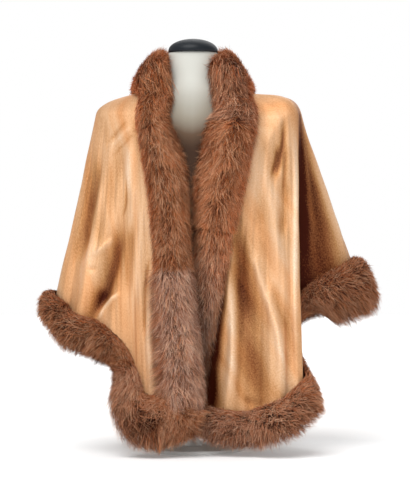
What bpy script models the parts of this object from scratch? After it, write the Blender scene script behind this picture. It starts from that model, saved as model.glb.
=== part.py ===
# Open cape of thin satin-faced cloth, trimmed all round with long fur, worn on a limbless dress form.
# Metres, +Z up. The front of the cape faces -Y and its left front lies on the -X side.
# The origin is the middle of the base plate's underside.

import math
from collections import namedtuple

import bpy
import numpy as np

MM = 0.001
OBJECT_NAME = "fur_trimmed_cape"

# Driving sizes, in millimetres
WALL = 2.4                 # cloth thickness
GAP = 0.3                  # between pieces that meet
EASE = 2.4                 # middle of the cloth wall from the form, over the shoulders
FORM_SIDES = 30
CAP_RADIUS = 52.0
CAP_BOTTOM = 832.3
CAP_RIM = 837.0
CAP_TOP = 862.0
CAP_STEPS = 5
BASE_RADIUS = 110.0
BASE_THICKNESS = 8.0
BASE_BEVEL = 2.0
POST_RADIUS = 14.0
ROUND_SIDES = 32

# The cape's grid: rows over the shoulders, then rows from there to the hem
YOKE_ROWS = 6
FALL_ROWS = 10
YOKE_SHARE = 0.3
LIFT_RISE = 0.7            # how early the cloth stands off the form
MAX_COLUMN_STEP = 6.0      # degrees
SLOPE_STEP = 0.01          # for slopes along the surface, as a share of its length
ANGLE_STEP = 0.2           # for slopes round the surface, degrees
SHOULDER_PULL = 0.35       # how far the cloth keeps the form's slope below the shoulders
PULL_FADE = 4              # and how fast it loses that slope

# Angles run round the form: 0 is its front, 90 its left side (-X), 180 its back, 270 its right side
LEFT_EDGE = 30.0
LEFT_SEAM = 90.0
RIGHT_SEAM = 270.0
RIGHT_EDGE = 324.0

# The fur strips meet at these angles of the hem
LEFT_HEM_JOINT = 46.0
BACK_LEFT_JOINT = 150.0
BACK_RIGHT_JOINT = 212.0
RIGHT_HEM_JOINT = 281.5
# Rows of the front edges where the strips of the bands meet
COLLAR_JOINT_ROW = 2
LEFT_BAND_JOINT_ROW = 10
RIGHT_BAND_JOINT_ROW = 8

# Slope of the seam between each front band and the hem fur under it, and the reach of the hem
# fur past the corner of the cloth
CornerSeam = namedtuple("CornerSeam", "slope length end_reach")
LEFT_CORNER = CornerSeam(slope=0.32, length=72.0, end_reach=66.0)
RIGHT_CORNER = CornerSeam(slope=0.10, length=70.0, end_reach=30.0)
CORNER_STEPS = 4
END_LENGTH = 9.0           # rounded end of a free strip
END_SHARE = 0.55           # its section there, as a share of the full one
END_THICKNESS = 0.7        # the hem fur's thickness before its free end, as a share
END_TAPER = 0.7            # how late its reach shrinks toward that end
OVERLAP = 7.0              # fur lying over the cloth's edge
OVERLAP_START = 30.0       # hem length past a corner before the fur overlaps the cloth
OVERLAP_RAMP = 25.0        # and the length over which it grows to its full width
THIN_FUR = 15.0            # fur no thicker than this stops at the cloth's edge
FLAT = 1.7                 # half of the flat that faces the cloth's edge
FRAME_PASSES = 3           # smoothing of the way the fur lies, from one section to the next
COLLAR_STEP = 5.0          # least length between sections of the collar
HEM_NORMAL_ROWS = 3        # rows of cloth above the hem that set how its fur lies
FORM_CLEARANCE = 4.5       # fur to form

# Torso of the dress form, from the top of its neck down
FormSection = namedtuple("FormSection", "z half_width front back")
FORM = [
    FormSection(832, 51.5, 47, 52),
    FormSection(800, 52, 48, 53),
    FormSection(780, 55, 50, 58),
    FormSection(765, 66, 55, 65),
    FormSection(750, 105, 62, 75),
    FormSection(732, 148, 68, 82),
    FormSection(716, 174, 76, 88),
    FormSection(700, 187, 85, 94),
    FormSection(670, 190, 97, 99),
    FormSection(630, 182, 110, 102),
    FormSection(580, 172, 121, 100),
    FormSection(520, 156, 108, 92),
    FormSection(450, 128, 82, 84),
    FormSection(380, 148, 80, 96),
    FormSection(310, 166, 82, 104),
    FormSection(250, 166, 82, 102),
    FormSection(200, 148, 72, 90),
    FormSection(165, 108, 52, 66),
    FormSection(152, 62, 30, 38),
    FormSection(147, 26, 16, 18),
]

# Where the cloth starts at the neck and where it leaves the form
YokeLine = namedtuple("YokeLine", "angle neck_shift neck_z turn_z lift")
YOKE = [
    YokeLine(30, 6, 720, 580, 0),
    YokeLine(40, 5, 732, 605, 0),
    YokeLine(52, 2, 739, 640, 0),
    YokeLine(68, 0, 744, 677, 5),
    YokeLine(90, 0, 746, 698, 14),
    YokeLine(120, 0, 740, 675, 6),
    YokeLine(150, 0, 731, 645, 0),
    YokeLine(180, 0, 726, 630, 0),
    YokeLine(210, 0, 731, 645, 4),
    YokeLine(240, 0, 740, 676, 21),
    YokeLine(270, 0, 746, 694, 38),
    YokeLine(286, 0, 745, 694, 39),
    YokeLine(300, -1, 742, 672, 25),
    YokeLine(312, -3, 735, 628, 9),
    YokeLine(324, -5, 720, 580, 0),
]

# The hem of the cloth, from the left front corner round the back to the right front corner,
# with the reach and the thickness of the fur there
HemPoint = namedtuple("HemPoint", "angle x y z reach outer")
HEM = [
    HemPoint(30, -57, -156, 119, 108, 36),
    HemPoint(34, -79, -157, 115, 106, 36),
    HemPoint(36, -90, -156, 117, 108, 36),
    HemPoint(38, -99, -154, 124, 92, 36),
    HemPoint(42, -110, -151, 145, 70, 34),
    HemPoint(46, -122, -147, 185, 46, 28),
    HemPoint(50, -135, -142, 217, 50, 30),
    HemPoint(55, -156, -134, 243, 60, 32),
    HemPoint(62, -195, -118, 269, 74, 34),
    HemPoint(70, -233, -100, 282, 76, 36),
    HemPoint(80, -267, -66, 310, 66, 38),
    HemPoint(90, -280, -20, 327, 60, 38),
    HemPoint(104, -280, 40, 313, 61, 36),
    HemPoint(120, -243, 85, 281, 70, 34),
    HemPoint(138, -180, 115, 235, 70, 32),
    HemPoint(150, -132, 128, 192, 52, 28),
    HemPoint(156, -110, 131, 142, 70, 32),
    HemPoint(162, -80, 135, 105, 82, 34),
    HemPoint(180, 3, 138, 92, 80, 34),
    HemPoint(198, 112, 135, 104, 82, 34),
    HemPoint(205, 132, 132, 140, 66, 32),
    HemPoint(212, 152, 130, 205, 46, 28),
    HemPoint(226, 206, 118, 305, 58, 30),
    HemPoint(242, 288, 90, 352, 78, 34),
    HemPoint(256, 328, 50, 383, 103, 38),
    HemPoint(263, 335, 22, 389, 112, 40),
    HemPoint(270, 329, -6, 388, 114, 42),
    HemPoint(273, 310, -25, 377, 113, 40),
    HemPoint(275, 285, -35, 364, 111, 38),
    HemPoint(277, 258, -38, 349, 104, 34),
    HemPoint(279, 229, -41, 330, 74, 22),
    HemPoint(281.5, 210, -46, 292, 42, 12),
    HemPoint(283, 204, -64, 244, 42, 14),
    HemPoint(284.5, 210, -88, 203, 76, 24),
    HemPoint(286, 219, -114, 172, 84, 32),
    HemPoint(288.5, 224, -135, 156, 82, 34),
    HemPoint(292, 213, -147, 141, 76, 36),
    HemPoint(296, 193, -151, 121, 78, 36),
    HemPoint(301, 170, -152, 107, 82, 36),
    HemPoint(306, 136, -149, 94, 79, 36),
    HemPoint(311, 104, -139, 87, 75, 36),
    HemPoint(316, 70, -124, 88, 72, 34),
    HemPoint(320, 41, -112, 93, 67, 32),
    HemPoint(324, 15, -104, 98, 60, 30),
]

# Largest folds: a fold runs from its angle at the shoulders to its angle at the hem. A depth
# above 0 stands out, one below 0 goes in.
Fold = namedtuple("Fold", "top hem start width depth")
FOLDS = [
    Fold(38, 41, 0.25, 3.0, -5),
    Fold(48, 62, 0.25, 4.5, -11),
    Fold(54, 70, 0.10, 5.0, 8),
    Fold(70, 77, 0.05, 4.5, -9),
    Fold(80, 85, 0.20, 5.0, 6),
    Fold(104, 108, 0.10, 7.0, -9),
    Fold(122, 124, 0.15, 8.0, 11),
    Fold(141, 140, 0.05, 8.0, -10),
    Fold(158, 160, 0.20, 7.0, 10),
    Fold(178, 181, 0.05, 9.0, -11),
    Fold(199, 196, 0.15, 8.0, 11),
    Fold(220, 217, 0.10, 8.0, -10),
    Fold(238, 235, 0.20, 8.0, 10),
    Fold(255, 252, 0.05, 6.0, -8),
    Fold(297, 294, 0.10, 3.5, -6),
    Fold(303, 300, 0.15, 4.0, 7),
    Fold(309, 309, 0.30, 4.5, -13),
    Fold(316, 316, 0.30, 4.0, 6),
]

# Fur along the front edges: how far down the edge, then the section of the fur. Lean tips the
# free side of the strip out of the cloth's own slope, and drop lets it bend down over the chest.
BandSection = namedtuple("BandSection", "down reach outer inner lean drop")
LEFT_BAND = [
    BandSection(0.00, 67, 34, 3, 0.05, 4),
    BandSection(0.10, 67, 34, 3, 0.00, 9),
    BandSection(0.30, 80, 36, 3, 0.00, 12),
    BandSection(0.50, 75, 36, 8, 0.00, 6),
    BandSection(0.72, 80, 36, 12, 0.05, 0),
    BandSection(0.88, 85, 36, 12, 0.15, 0),
    BandSection(1.00, 84, 36, 12, 0.15, 0),
]
RIGHT_BAND = [
    BandSection(0.00, 84, 34, 3, 0.05, 6),
    BandSection(0.10, 95, 34, 3, 0.00, 9),
    BandSection(0.30, 97, 34, 3, 0.04, 10),
    BandSection(0.42, 88, 32, 4, -0.02, 8),
    BandSection(0.54, 75, 30, 6, -0.10, 6),
    BandSection(0.72, 76, 28, 8, -0.16, 4),
    BandSection(1.00, 76, 28, 10, -0.10, 0),
]

# Fur collar, by angle round the neck
CollarSection = namedtuple("CollarSection", "angle reach outer inner lean drop")
COLLAR = [
    CollarSection(30, 67, 34, 3, -0.05, 4),
    CollarSection(42, 74, 36, 3, 0.10, 2),
    CollarSection(60, 86, 40, 3, 0.40, 0),
    CollarSection(90, 91, 44, 3, 0.56, 0),
    CollarSection(120, 92, 44, 3, 0.64, 0),
    CollarSection(150, 96, 42, 3, 0.60, 0),
    CollarSection(180, 98, 42, 3, 0.56, 0),
    CollarSection(210, 96, 42, 3, 0.60, 0),
    CollarSection(240, 84, 42, 3, 0.80, 0),
    CollarSection(270, 101, 44, 3, 0.60, 0),
    CollarSection(296, 97, 40, 3, 0.40, 0),
    CollarSection(314, 86, 36, 3, 0.08, 2),
    CollarSection(324, 84, 34, 3, 0.00, 6),
]
HEM_INNER_SHARE = 0.34     # fur behind the cloth, as a share of the fur in front of it

# One section of fur, round from the front of the cloth's edge: how far out from the edge as a
# share of the reach, and how far off the cloth as a share of the outer or inner thickness
RingPoint = namedtuple("RingPoint", "out off")
FUR_RING = [
    RingPoint(0.10, 0.90),
    RingPoint(0.36, 1.00),
    RingPoint(0.66, 0.88),
    RingPoint(0.90, 0.55),
    RingPoint(1.00, 0.12),
    RingPoint(0.93, -0.50),
    RingPoint(0.62, -1.00),
    RingPoint(0.24, -0.90),
]
FOOT_OFF = 0.21            # the fur's foot on the cloth, then its shoulder over it
SHOULDER_OFF = 0.58
FOOT_RISE = 0.5            # least height of the foot above the flat


class SmoothTable:
    """A smooth line through the rows of a table, one value or many for each knot."""

    def __init__(self, knots, values):
        self.knots = np.array(knots, dtype=float)
        self.values = np.array(values, dtype=float)
        if self.values.ndim == 1:
            self.values = self.values[:, None]
        steps = np.diff(self.knots)[:, None]
        rises = np.diff(self.values, axis=0) / steps
        slopes = np.zeros_like(self.values)
        slopes[0] = rises[0]
        slopes[-1] = rises[-1]
        before, after = rises[:-1], rises[1:]
        same_way = before * after > 0.0
        total = np.where(same_way, before + after, 1.0)
        slopes[1:-1] = np.where(same_way, 2.0 * before * after / total, 0.0)
        self.slopes = slopes

    def at(self, knot):
        place = int(np.searchsorted(self.knots, knot, side="right")) - 1
        place = min(max(place, 0), len(self.knots) - 2)
        step = self.knots[place + 1] - self.knots[place]
        s = min(max((knot - self.knots[place]) / step, 0.0), 1.0)
        start, end = self.values[place], self.values[place + 1]
        leave, arrive = self.slopes[place] * step, self.slopes[place + 1] * step
        return (
            (2 * s**3 - 3 * s**2 + 1) * start
            + (s**3 - 2 * s**2 + s) * leave
            + (3 * s**2 - 2 * s**3) * end
            + (s**3 - s**2) * arrive
        )


def table_of(rows):
    return SmoothTable([row[0] for row in rows], [row[1:] for row in rows])


FORM_TABLE = table_of(sorted(FORM))
YOKE_TABLE = table_of(YOKE)
HEM_TABLE = table_of(HEM)
COLLAR_TABLE = table_of(COLLAR)
LEFT_BAND_TABLE = table_of(LEFT_BAND)
RIGHT_BAND_TABLE = table_of(RIGHT_BAND)


def unit(vector):
    return vector / max(np.linalg.norm(vector), 1e-9)


def smooth_step(x):
    x = min(max(x, 0.0), 1.0)
    return x * x * (3.0 - 2.0 * x)


# Dress form

def form_point(angle, z):
    half_width, front, back = FORM_TABLE.at(z)
    turn = math.radians(angle)
    depth = front if math.cos(turn) > 0.0 else back
    return np.array([-half_width * math.sin(turn), -depth * math.cos(turn), z])


def form_normal(angle, z):
    round_it = form_point(angle + ANGLE_STEP, z) - form_point(angle - ANGLE_STEP, z)
    down_it = form_point(angle, z - 1.0) - form_point(angle, z + 1.0)
    return unit(np.cross(round_it, down_it))


def clear_of_form(point, clearance):
    """Moves a point outward, level, until it is clear of the dress form."""
    half_width, front, back = FORM_TABLE.at(point[2])
    depth = front if point[1] < 0.0 else back
    inside = math.hypot(point[0] / (half_width + clearance), point[1] / (depth + clearance))
    if inside >= 1.0:
        return point
    return np.array([point[0] / inside, point[1] / inside, point[2]])


# Cape surface

def yoke_point(angle, share):
    neck_shift, neck_z, turn_z, lift = YOKE_TABLE.at(angle)
    z = neck_z + (turn_z - neck_z) * share
    place = angle + neck_shift * (1.0 - share)
    return form_point(place, z) + form_normal(place, z) * (EASE + lift * smooth_step(share) ** LIFT_RISE)


def fold_depth(angle, fall):
    depth = 0.0
    for fold in FOLDS:
        centre = fold.top + (fold.hem - fold.top) * fall
        growth = smooth_step((fall - fold.start) / (1.0 - fold.start))
        away = (angle - centre) / fold.width
        depth += fold.depth * growth * math.exp(-away * away)
    return depth


def plain_cape_point(angle, down):
    """The middle of the cloth wall without its folds, from the neck (0) to the hem (1)."""
    if down <= YOKE_SHARE:
        return yoke_point(angle, down / YOKE_SHARE)
    fall = (down - YOKE_SHARE) / (1.0 - YOKE_SHARE)
    turn = yoke_point(angle, 1.0)
    slope = unit(turn - yoke_point(angle, 1.0 - SLOPE_STEP))
    hem = HEM_TABLE.at(angle)[:3]
    drop = hem - turn
    pull = np.linalg.norm(drop) * SHOULDER_PULL * fall * (1.0 - fall) ** PULL_FADE
    return turn + drop * fall + slope * pull


def plain_cape_normal(angle, down):
    before, after = max(angle - ANGLE_STEP, LEFT_EDGE), min(angle + ANGLE_STEP, RIGHT_EDGE)
    above, below = max(down - SLOPE_STEP, 0.0), min(down + SLOPE_STEP, 1.0)
    round_it = plain_cape_point(after, down) - plain_cape_point(before, down)
    down_it = plain_cape_point(angle, below) - plain_cape_point(angle, above)
    return unit(np.cross(round_it, down_it))


def cape_point(angle, down):
    point = plain_cape_point(angle, down)
    if down <= YOKE_SHARE:
        return point
    fall = (down - YOKE_SHARE) / (1.0 - YOKE_SHARE)
    return point + plain_cape_normal(angle, down) * fold_depth(angle, fall)


def cape_rows():
    yoke = [YOKE_SHARE * row / YOKE_ROWS for row in range(YOKE_ROWS)]
    fall = [YOKE_SHARE + (1.0 - YOKE_SHARE) * row / FALL_ROWS for row in range(FALL_ROWS + 1)]
    return yoke + fall


def cape_columns(first, last):
    """Angles from first to last, with each hem row among them and no step too wide."""
    knots = [row.angle for row in HEM if first <= row.angle <= last]
    columns = [knots[0]]
    for before, after in zip(knots, knots[1:]):
        count = math.ceil((after - before) / MAX_COLUMN_STEP)
        columns += [before + (after - before) * step / count for step in range(1, count + 1)]
    return columns


ROWS = cape_rows()
COLUMNS = cape_columns(LEFT_EDGE, RIGHT_EDGE)
LAST_ROW = len(ROWS) - 1
CAPE = {(angle, row): cape_point(angle, down) for angle in COLUMNS for row, down in enumerate(ROWS)}


def cell_normal(column, row):
    """The outward normal of one cell of the grid, as long as the cell is large."""
    before, after = COLUMNS[column], COLUMNS[column + 1]
    across = CAPE[after, row + 1] - CAPE[before, row]
    back = CAPE[before, row + 1] - CAPE[after, row]
    return np.cross(across, back)


def grid_normal(column, row, reach=1):
    """The outward normal at one point of the grid, from the cells within reach rows of it."""
    total = np.zeros(3)
    for near_column in (column - 1, column):
        for near_row in range(row - reach, row + reach):
            if 0 <= near_column < len(COLUMNS) - 1 and 0 <= near_row < LAST_ROW:
                total += cell_normal(near_column, near_row)
    return unit(total)


# Meshes

def make_object(name, points, faces, material):
    mesh = bpy.data.meshes.new(name)
    mesh.from_pydata([tuple(float(c) * MM for c in point) for point in points], [], faces)
    mesh.shade_smooth()
    mesh.materials.append(material)
    obj = bpy.data.objects.new(name, mesh)
    PARTS.objects.link(obj)
    return obj


def make_material(name, colour, roughness, metallic=0.0):
    material = bpy.data.materials.new(name)
    material.use_nodes = True
    shader = material.node_tree.nodes["Principled BSDF"]
    shader.inputs["Base Color"].default_value = (*colour, 1.0)
    shader.inputs["Roughness"].default_value = roughness
    shader.inputs["Metallic"].default_value = metallic
    return material


def lofted_faces(ring_count, ring_size, flip):
    """Quads between closed rings, with a fan on a middle point at each end."""
    faces = []
    for ring in range(ring_count - 1):
        for side in range(ring_size):
            a = ring * ring_size + side
            b = ring * ring_size + (side + 1) % ring_size
            faces.append((a, b, b + ring_size, a + ring_size))
    first_middle = ring_count * ring_size
    last_middle = first_middle + 1
    last = (ring_count - 1) * ring_size
    for side in range(ring_size):
        after = (side + 1) % ring_size
        faces.append((first_middle, after, side))
        faces.append((last_middle, last + side, last + after))
    return [face[::-1] for face in faces] if flip else faces


def loft(name, rings, material, flip=False):
    points = [point for ring in rings for point in ring]
    points.append(np.mean(rings[0], axis=0))
    points.append(np.mean(rings[-1], axis=0))
    faces = lofted_faces(len(rings), len(rings[0]), flip)
    return make_object(name, points, faces, material)


def build_form(material):
    angles = [360.0 * side / FORM_SIDES for side in range(FORM_SIDES)]
    rings = [[form_point(angle, section.z) for angle in angles] for section in FORM]
    return loft("dress_form", rings, material)


def build_cap(material):
    """The cap of the neck, a profile turned about the neck's axis."""
    profile = [(0.0, CAP_TOP)]
    for step in range(1, CAP_STEPS + 1):
        turn = math.pi / 2 * step / CAP_STEPS
        profile.append((CAP_RADIUS * math.sin(turn), CAP_RIM + (CAP_TOP - CAP_RIM) * math.cos(turn)))
    profile.append((CAP_RADIUS, CAP_BOTTOM))
    profile.append((0.0, CAP_BOTTOM))
    edges = [(i, i + 1) for i in range(len(profile) - 1)]
    mesh = bpy.data.meshes.new("neck_cap")
    mesh.from_pydata([(radius * MM, 0.0, z * MM) for radius, z in profile], edges, [])
    mesh.materials.append(material)
    cap = bpy.data.objects.new("neck_cap", mesh)
    PARTS.objects.link(cap)
    turned = cap.modifiers.new("turned", "SCREW")
    turned.steps = ROUND_SIDES
    turned.render_steps = ROUND_SIDES
    turned.use_merge_vertices = True
    turned.merge_threshold = 0.00005
    turned.use_smooth_shade = True
    return cap


def build_disc(name, radius, low, high, bevel, material):
    bpy.ops.mesh.primitive_cylinder_add(
        vertices=ROUND_SIDES,
        radius=radius * MM,
        depth=(high - low) * MM,
        location=(0.0, 0.0, (low + high) / 2 * MM),
    )
    disc = bpy.context.object
    disc.name = name
    disc.data.materials.append(material)
    for collection in list(disc.users_collection):
        collection.objects.unlink(disc)
    PARTS.objects.link(disc)
    if bevel:
        rounded = disc.modifiers.new("rounded", "BEVEL")
        rounded.width = bevel * MM
        rounded.segments = 2
        rounded.limit_method = "ANGLE"
    return disc


def build_panel(name, first, last, material):
    """One cloth panel between two angles, a closed wall on both sides of the cape's grid. Its
    seam edges keep half a gap from the seam, square to the wall."""
    columns = [angle for angle in COLUMNS if first <= angle <= last]
    outer, inner = [], []
    for angle in columns:
        for row in range(LAST_ROW + 1):
            point, normal = CAPE[angle, row], WALL_NORMALS[angle, row]
            if angle in (columns[0], columns[-1]) and angle not in (LEFT_EDGE, RIGHT_EDGE):
                down = CAPE[angle, min(row + 1, LAST_ROW)] - CAPE[angle, max(row - 1, 0)]
                side = 1.0 if angle == columns[0] else -1.0
                point = point + unit(np.cross(down, normal)) * side * GAP / 2
            outer.append(point + normal * WALL / 2)
            inner.append(point - normal * WALL / 2)
    rows, size = LAST_ROW + 1, len(outer)
    rim = [(column * rows, (column + 1) * rows) for column in range(len(columns) - 1)]
    rim += [(a, a + 1) for a in range(size - rows, size - 1)]
    rim += [(b + LAST_ROW, a + LAST_ROW) for a, b in reversed(rim[:len(columns) - 1])]
    rim += [(a + 1, a) for a in range(LAST_ROW - 1, -1, -1)]
    faces = []
    for column in range(len(columns) - 1):
        for row in range(LAST_ROW):
            a = column * rows + row
            faces.append((a, a + 1, a + rows + 1, a + rows))
            faces.append((size + a, size + a + rows, size + a + rows + 1, size + a + 1))
    faces += [(a, b, b + size, a + size) for a, b in rim]
    return make_object(name, outer + inner, [face[::-1] for face in faces], material)


# Fur strips

Station = namedtuple("Station", "edge along off out reach outer inner lean drop overlap")


def stations_along(edges, normals, sections, overlaps, side):
    """Places a fur section at each edge point. Side is 1 where the fur lies on the right of the
    path seen from outside, and -1 where it lies on the left."""
    last = len(edges) - 1
    alongs = [unit(edges[min(i + 1, last)] - edges[max(i - 1, 0)]) for i in range(last + 1)]
    outs = [unit(side * np.cross(along, normal)) for along, normal in zip(alongs, normals)]
    for _ in range(FRAME_PASSES):
        outs = [unit(outs[max(i - 1, 0)] + 2.0 * out + outs[min(i + 1, last)])
                for i, out in enumerate(outs)]
        normals = [unit(normals[max(i - 1, 0)] + 2.0 * normal + normals[min(i + 1, last)])
                   for i, normal in enumerate(normals)]
    stations = []
    for edge, along, out, normal, section, overlap in zip(
            edges, alongs, outs, normals, sections, overlaps):
        off = unit(normal - out * float(np.dot(normal, out)))
        stations.append(Station(edge, along, off, out, *section, overlap))
    return stations


def fur_ring(station):
    """One closed section of fur, starting and ending on the flat that faces the cloth's edge."""
    def place(out, off):
        lift = off + station.lean * out - station.drop * (out / station.reach) ** 2
        point = station.edge + station.out * out + station.off * lift
        return clear_of_form(point, FORM_CLEARANCE)

    foot = max(FOOT_OFF * station.outer, FLAT + FOOT_RISE)
    tuck = -station.overlap
    ring = [station.edge + station.out * GAP + station.off * FLAT]
    ring.append(place(tuck, foot - station.lean * tuck))
    ring.append(place(tuck, SHOULDER_OFF * station.outer))
    for spot in FUR_RING:
        thickness = station.outer if spot.off > 0.0 else station.inner
        ring.append(place(spot.out * station.reach, spot.off * thickness))
    ring.append(station.edge + station.out * GAP - station.off * FLAT)
    return ring


def moved_ring(ring, vector):
    return [point + vector for point in ring]


def rounded_end(ring, outward):
    """A smaller ring past the end of a strip, so that its end is round."""
    middle = np.mean(ring, axis=0)
    return [middle + (point - middle) * END_SHARE + outward * END_LENGTH for point in ring]


def ring_below(ring, corner, plane_normal):
    """Keeps a ring on the far side of the seam under a front band."""
    placed = []
    for point in ring:
        short = GAP - float(np.dot(point - corner, plane_normal))
        placed.append(point + plane_normal * max(short, 0.0))
    return placed


def ring_on_plane(ring, station, plane_normal):
    """Slides a ring along its strip until it lies on a plane through the cloth's corner."""
    facing = float(np.dot(station.along, plane_normal))
    placed = []
    for point in ring:
        height = float(np.dot(point - station.edge, plane_normal))
        placed.append(point - station.along * height / facing)
    return placed


def corner_run(corner, seam, sign):
    """Edge points of the hem fur past the cloth's corner, from its free end to the corner."""
    direction = unit(np.array([sign, 0.0, -seam.slope]))
    steps = [seam.length * (1.0 - step / CORNER_STEPS) for step in range(CORNER_STEPS)]
    return [corner + direction * step for step in steps], direction


def hem_chain():
    """All stations of the hem fur, from the left free end round the back to the right one."""
    left_corner, right_corner = CAPE[LEFT_EDGE, LAST_ROW], CAPE[RIGHT_EDGE, LAST_ROW]
    left_run, left_direction = corner_run(left_corner, LEFT_CORNER, 1.0)
    right_run, right_direction = corner_run(right_corner, RIGHT_CORNER, -1.0)
    edges = list(left_run)
    normals = [np.array([0.0, -1.0, 0.0])] * CORNER_STEPS
    sections, overlaps = [], []
    first, last = HEM[0], HEM[-1]

    def hem_section(reach, outer):
        return reach, outer, outer * HEM_INNER_SHARE, 0.0, 0.0

    for step in range(CORNER_STEPS):
        share = step / CORNER_STEPS
        reach = LEFT_CORNER.end_reach + (first.reach - LEFT_CORNER.end_reach) * share**END_TAPER
        sections.append(hem_section(reach, first.outer * (END_THICKNESS + (1.0 - END_THICKNESS) * share)))
        overlaps.append(-GAP)
    travelled = 0.0
    lengths = [0.0]
    for before, after in zip(COLUMNS, COLUMNS[1:]):
        travelled += np.linalg.norm(CAPE[after, LAST_ROW] - CAPE[before, LAST_ROW])
        lengths.append(travelled)
    for column, (angle, length) in enumerate(zip(COLUMNS, lengths)):
        reach, outer = HEM_TABLE.at(angle)[3:]
        edges.append(CAPE[angle, LAST_ROW])
        normals.append(grid_normal(column, LAST_ROW, HEM_NORMAL_ROWS))
        sections.append(hem_section(reach, outer))
        from_corner = min(length, travelled - length)
        share = smooth_step((from_corner - OVERLAP_START) / OVERLAP_RAMP)
        share *= smooth_step((outer - THIN_FUR) / THIN_FUR)
        overlaps.append(OVERLAP * share - GAP * (1.0 - share))
    for step in range(CORNER_STEPS):
        share = 1.0 - (step + 1) / CORNER_STEPS
        reach = RIGHT_CORNER.end_reach + (last.reach - RIGHT_CORNER.end_reach) * share**END_TAPER
        edges.append(right_run[CORNER_STEPS - 1 - step])
        normals.append(np.array([0.0, -1.0, 0.0]))
        sections.append(hem_section(reach, last.outer * (END_THICKNESS + (1.0 - END_THICKNESS) * share)))
        overlaps.append(-GAP)
    stations = stations_along(edges, normals, sections, overlaps, -1.0)
    return stations, left_direction, right_direction


def collar_columns():
    """The grid's columns that the collar has a section at, no closer than its least step."""
    kept = [0]
    travelled = 0.0
    for column in range(1, len(COLUMNS)):
        travelled += np.linalg.norm(CAPE[COLUMNS[column], 0] - CAPE[COLUMNS[column - 1], 0])
        if travelled >= COLLAR_STEP:
            kept.append(column)
            travelled = 0.0
    kept[-1] = len(COLUMNS) - 1
    return kept


def neckline_chain():
    """All stations of the front bands and the collar, up the left front and down the right."""
    edges, normals, sections = [], [], []
    for row in range(LAST_ROW, 0, -1):
        edges.append(CAPE[LEFT_EDGE, row])
        normals.append(grid_normal(0, row))
        sections.append(tuple(LEFT_BAND_TABLE.at(ROWS[row])))
    for column in collar_columns():
        edges.append(CAPE[COLUMNS[column], 0])
        normals.append(grid_normal(column, 0))
        sections.append(tuple(COLLAR_TABLE.at(COLUMNS[column])))
    for row in range(1, LAST_ROW + 1):
        edges.append(CAPE[RIGHT_EDGE, row])
        normals.append(grid_normal(len(COLUMNS) - 1, row))
        sections.append(tuple(RIGHT_BAND_TABLE.at(ROWS[row])))
    overlaps = [OVERLAP] * len(edges)
    return stations_along(edges, normals, sections, overlaps, 1.0)


def build_strip(name, stations, first, last, material, ends=(None, None), below=None):
    """A fur strip between two stations. An end is None for a joint, 'round' for a free end, or
    the normal of the plane that it is cut on. Below gives the stations that pass under a front
    band, the corner of the cloth there and the normal of the seam."""
    rings = [fur_ring(station) for station in stations[first:last + 1]]
    if below:
        for place in below.stations:
            rings[place - first] = ring_below(rings[place - first], below.corner, below.normal)
    for place, end, station, sign in (
        (0, ends[0], stations[first], 1.0),
        (-1, ends[1], stations[last], -1.0),
    ):
        if end is None:
            rings[place] = moved_ring(rings[place], station.along * sign * GAP / 2)
        elif not isinstance(end, str):
            rings[place] = ring_on_plane(rings[place], station, end)
    if isinstance(ends[0], str):
        rings.insert(0, rounded_end(rings[0], -stations[first].along))
    if isinstance(ends[1], str):
        rings.append(rounded_end(rings[-1], stations[last].along))
    return loft(name, rings, material, flip=stations is HEM_STATIONS)


for old in list(bpy.data.objects):
    bpy.data.objects.remove(old, do_unlink=True)
PARTS = bpy.data.collections.new(OBJECT_NAME)
bpy.context.scene.collection.children.link(PARTS)

CLOTH = make_material("tan satin-faced cloth", (0.62, 0.34, 0.15), 0.38)
RED_FUR = make_material("reddish brown fur", (0.26, 0.10, 0.05), 0.85)
GREY_FUR = make_material("greyish brown fur", (0.28, 0.15, 0.10), 0.85)
FORM_COVER = make_material("off-white form cover", (0.78, 0.77, 0.72), 0.7)
CAP_PAINT = make_material("black cap", (0.02, 0.025, 0.03), 0.35)
STAND_PAINT = make_material("white stand", (0.8, 0.8, 0.78), 0.5)

build_form(FORM_COVER)
build_cap(CAP_PAINT)
form_foot = FORM[-1].z - GAP
build_disc("stand_post", POST_RADIUS, BASE_THICKNESS + GAP, form_foot, 0.0, STAND_PAINT)
build_disc("stand_base", BASE_RADIUS, 0.0, BASE_THICKNESS, BASE_BEVEL, STAND_PAINT)

HEM_STATIONS, LEFT_RUN, RIGHT_RUN = hem_chain()
NECK_STATIONS = neckline_chain()
LAST_HEM = len(HEM_STATIONS) - 1
LAST_NECK = len(NECK_STATIONS) - 1

# The wall's end faces are square to the fur that meets them
WALL_NORMALS = {}
for column, angle in enumerate(COLUMNS):
    for row in range(LAST_ROW + 1):
        WALL_NORMALS[angle, row] = grid_normal(column, row)
    WALL_NORMALS[angle, LAST_ROW] = HEM_STATIONS[CORNER_STEPS + column].off
for row in range(1, LAST_ROW):
    WALL_NORMALS[LEFT_EDGE, row] = NECK_STATIONS[LAST_ROW - row].off
    WALL_NORMALS[RIGHT_EDGE, row] = NECK_STATIONS[LAST_NECK - LAST_ROW + row].off

build_panel("left_front", LEFT_EDGE, LEFT_SEAM, CLOTH)
build_panel("back", LEFT_SEAM, RIGHT_SEAM, CLOTH)
build_panel("right_front", RIGHT_SEAM, RIGHT_EDGE, CLOTH)

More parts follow.
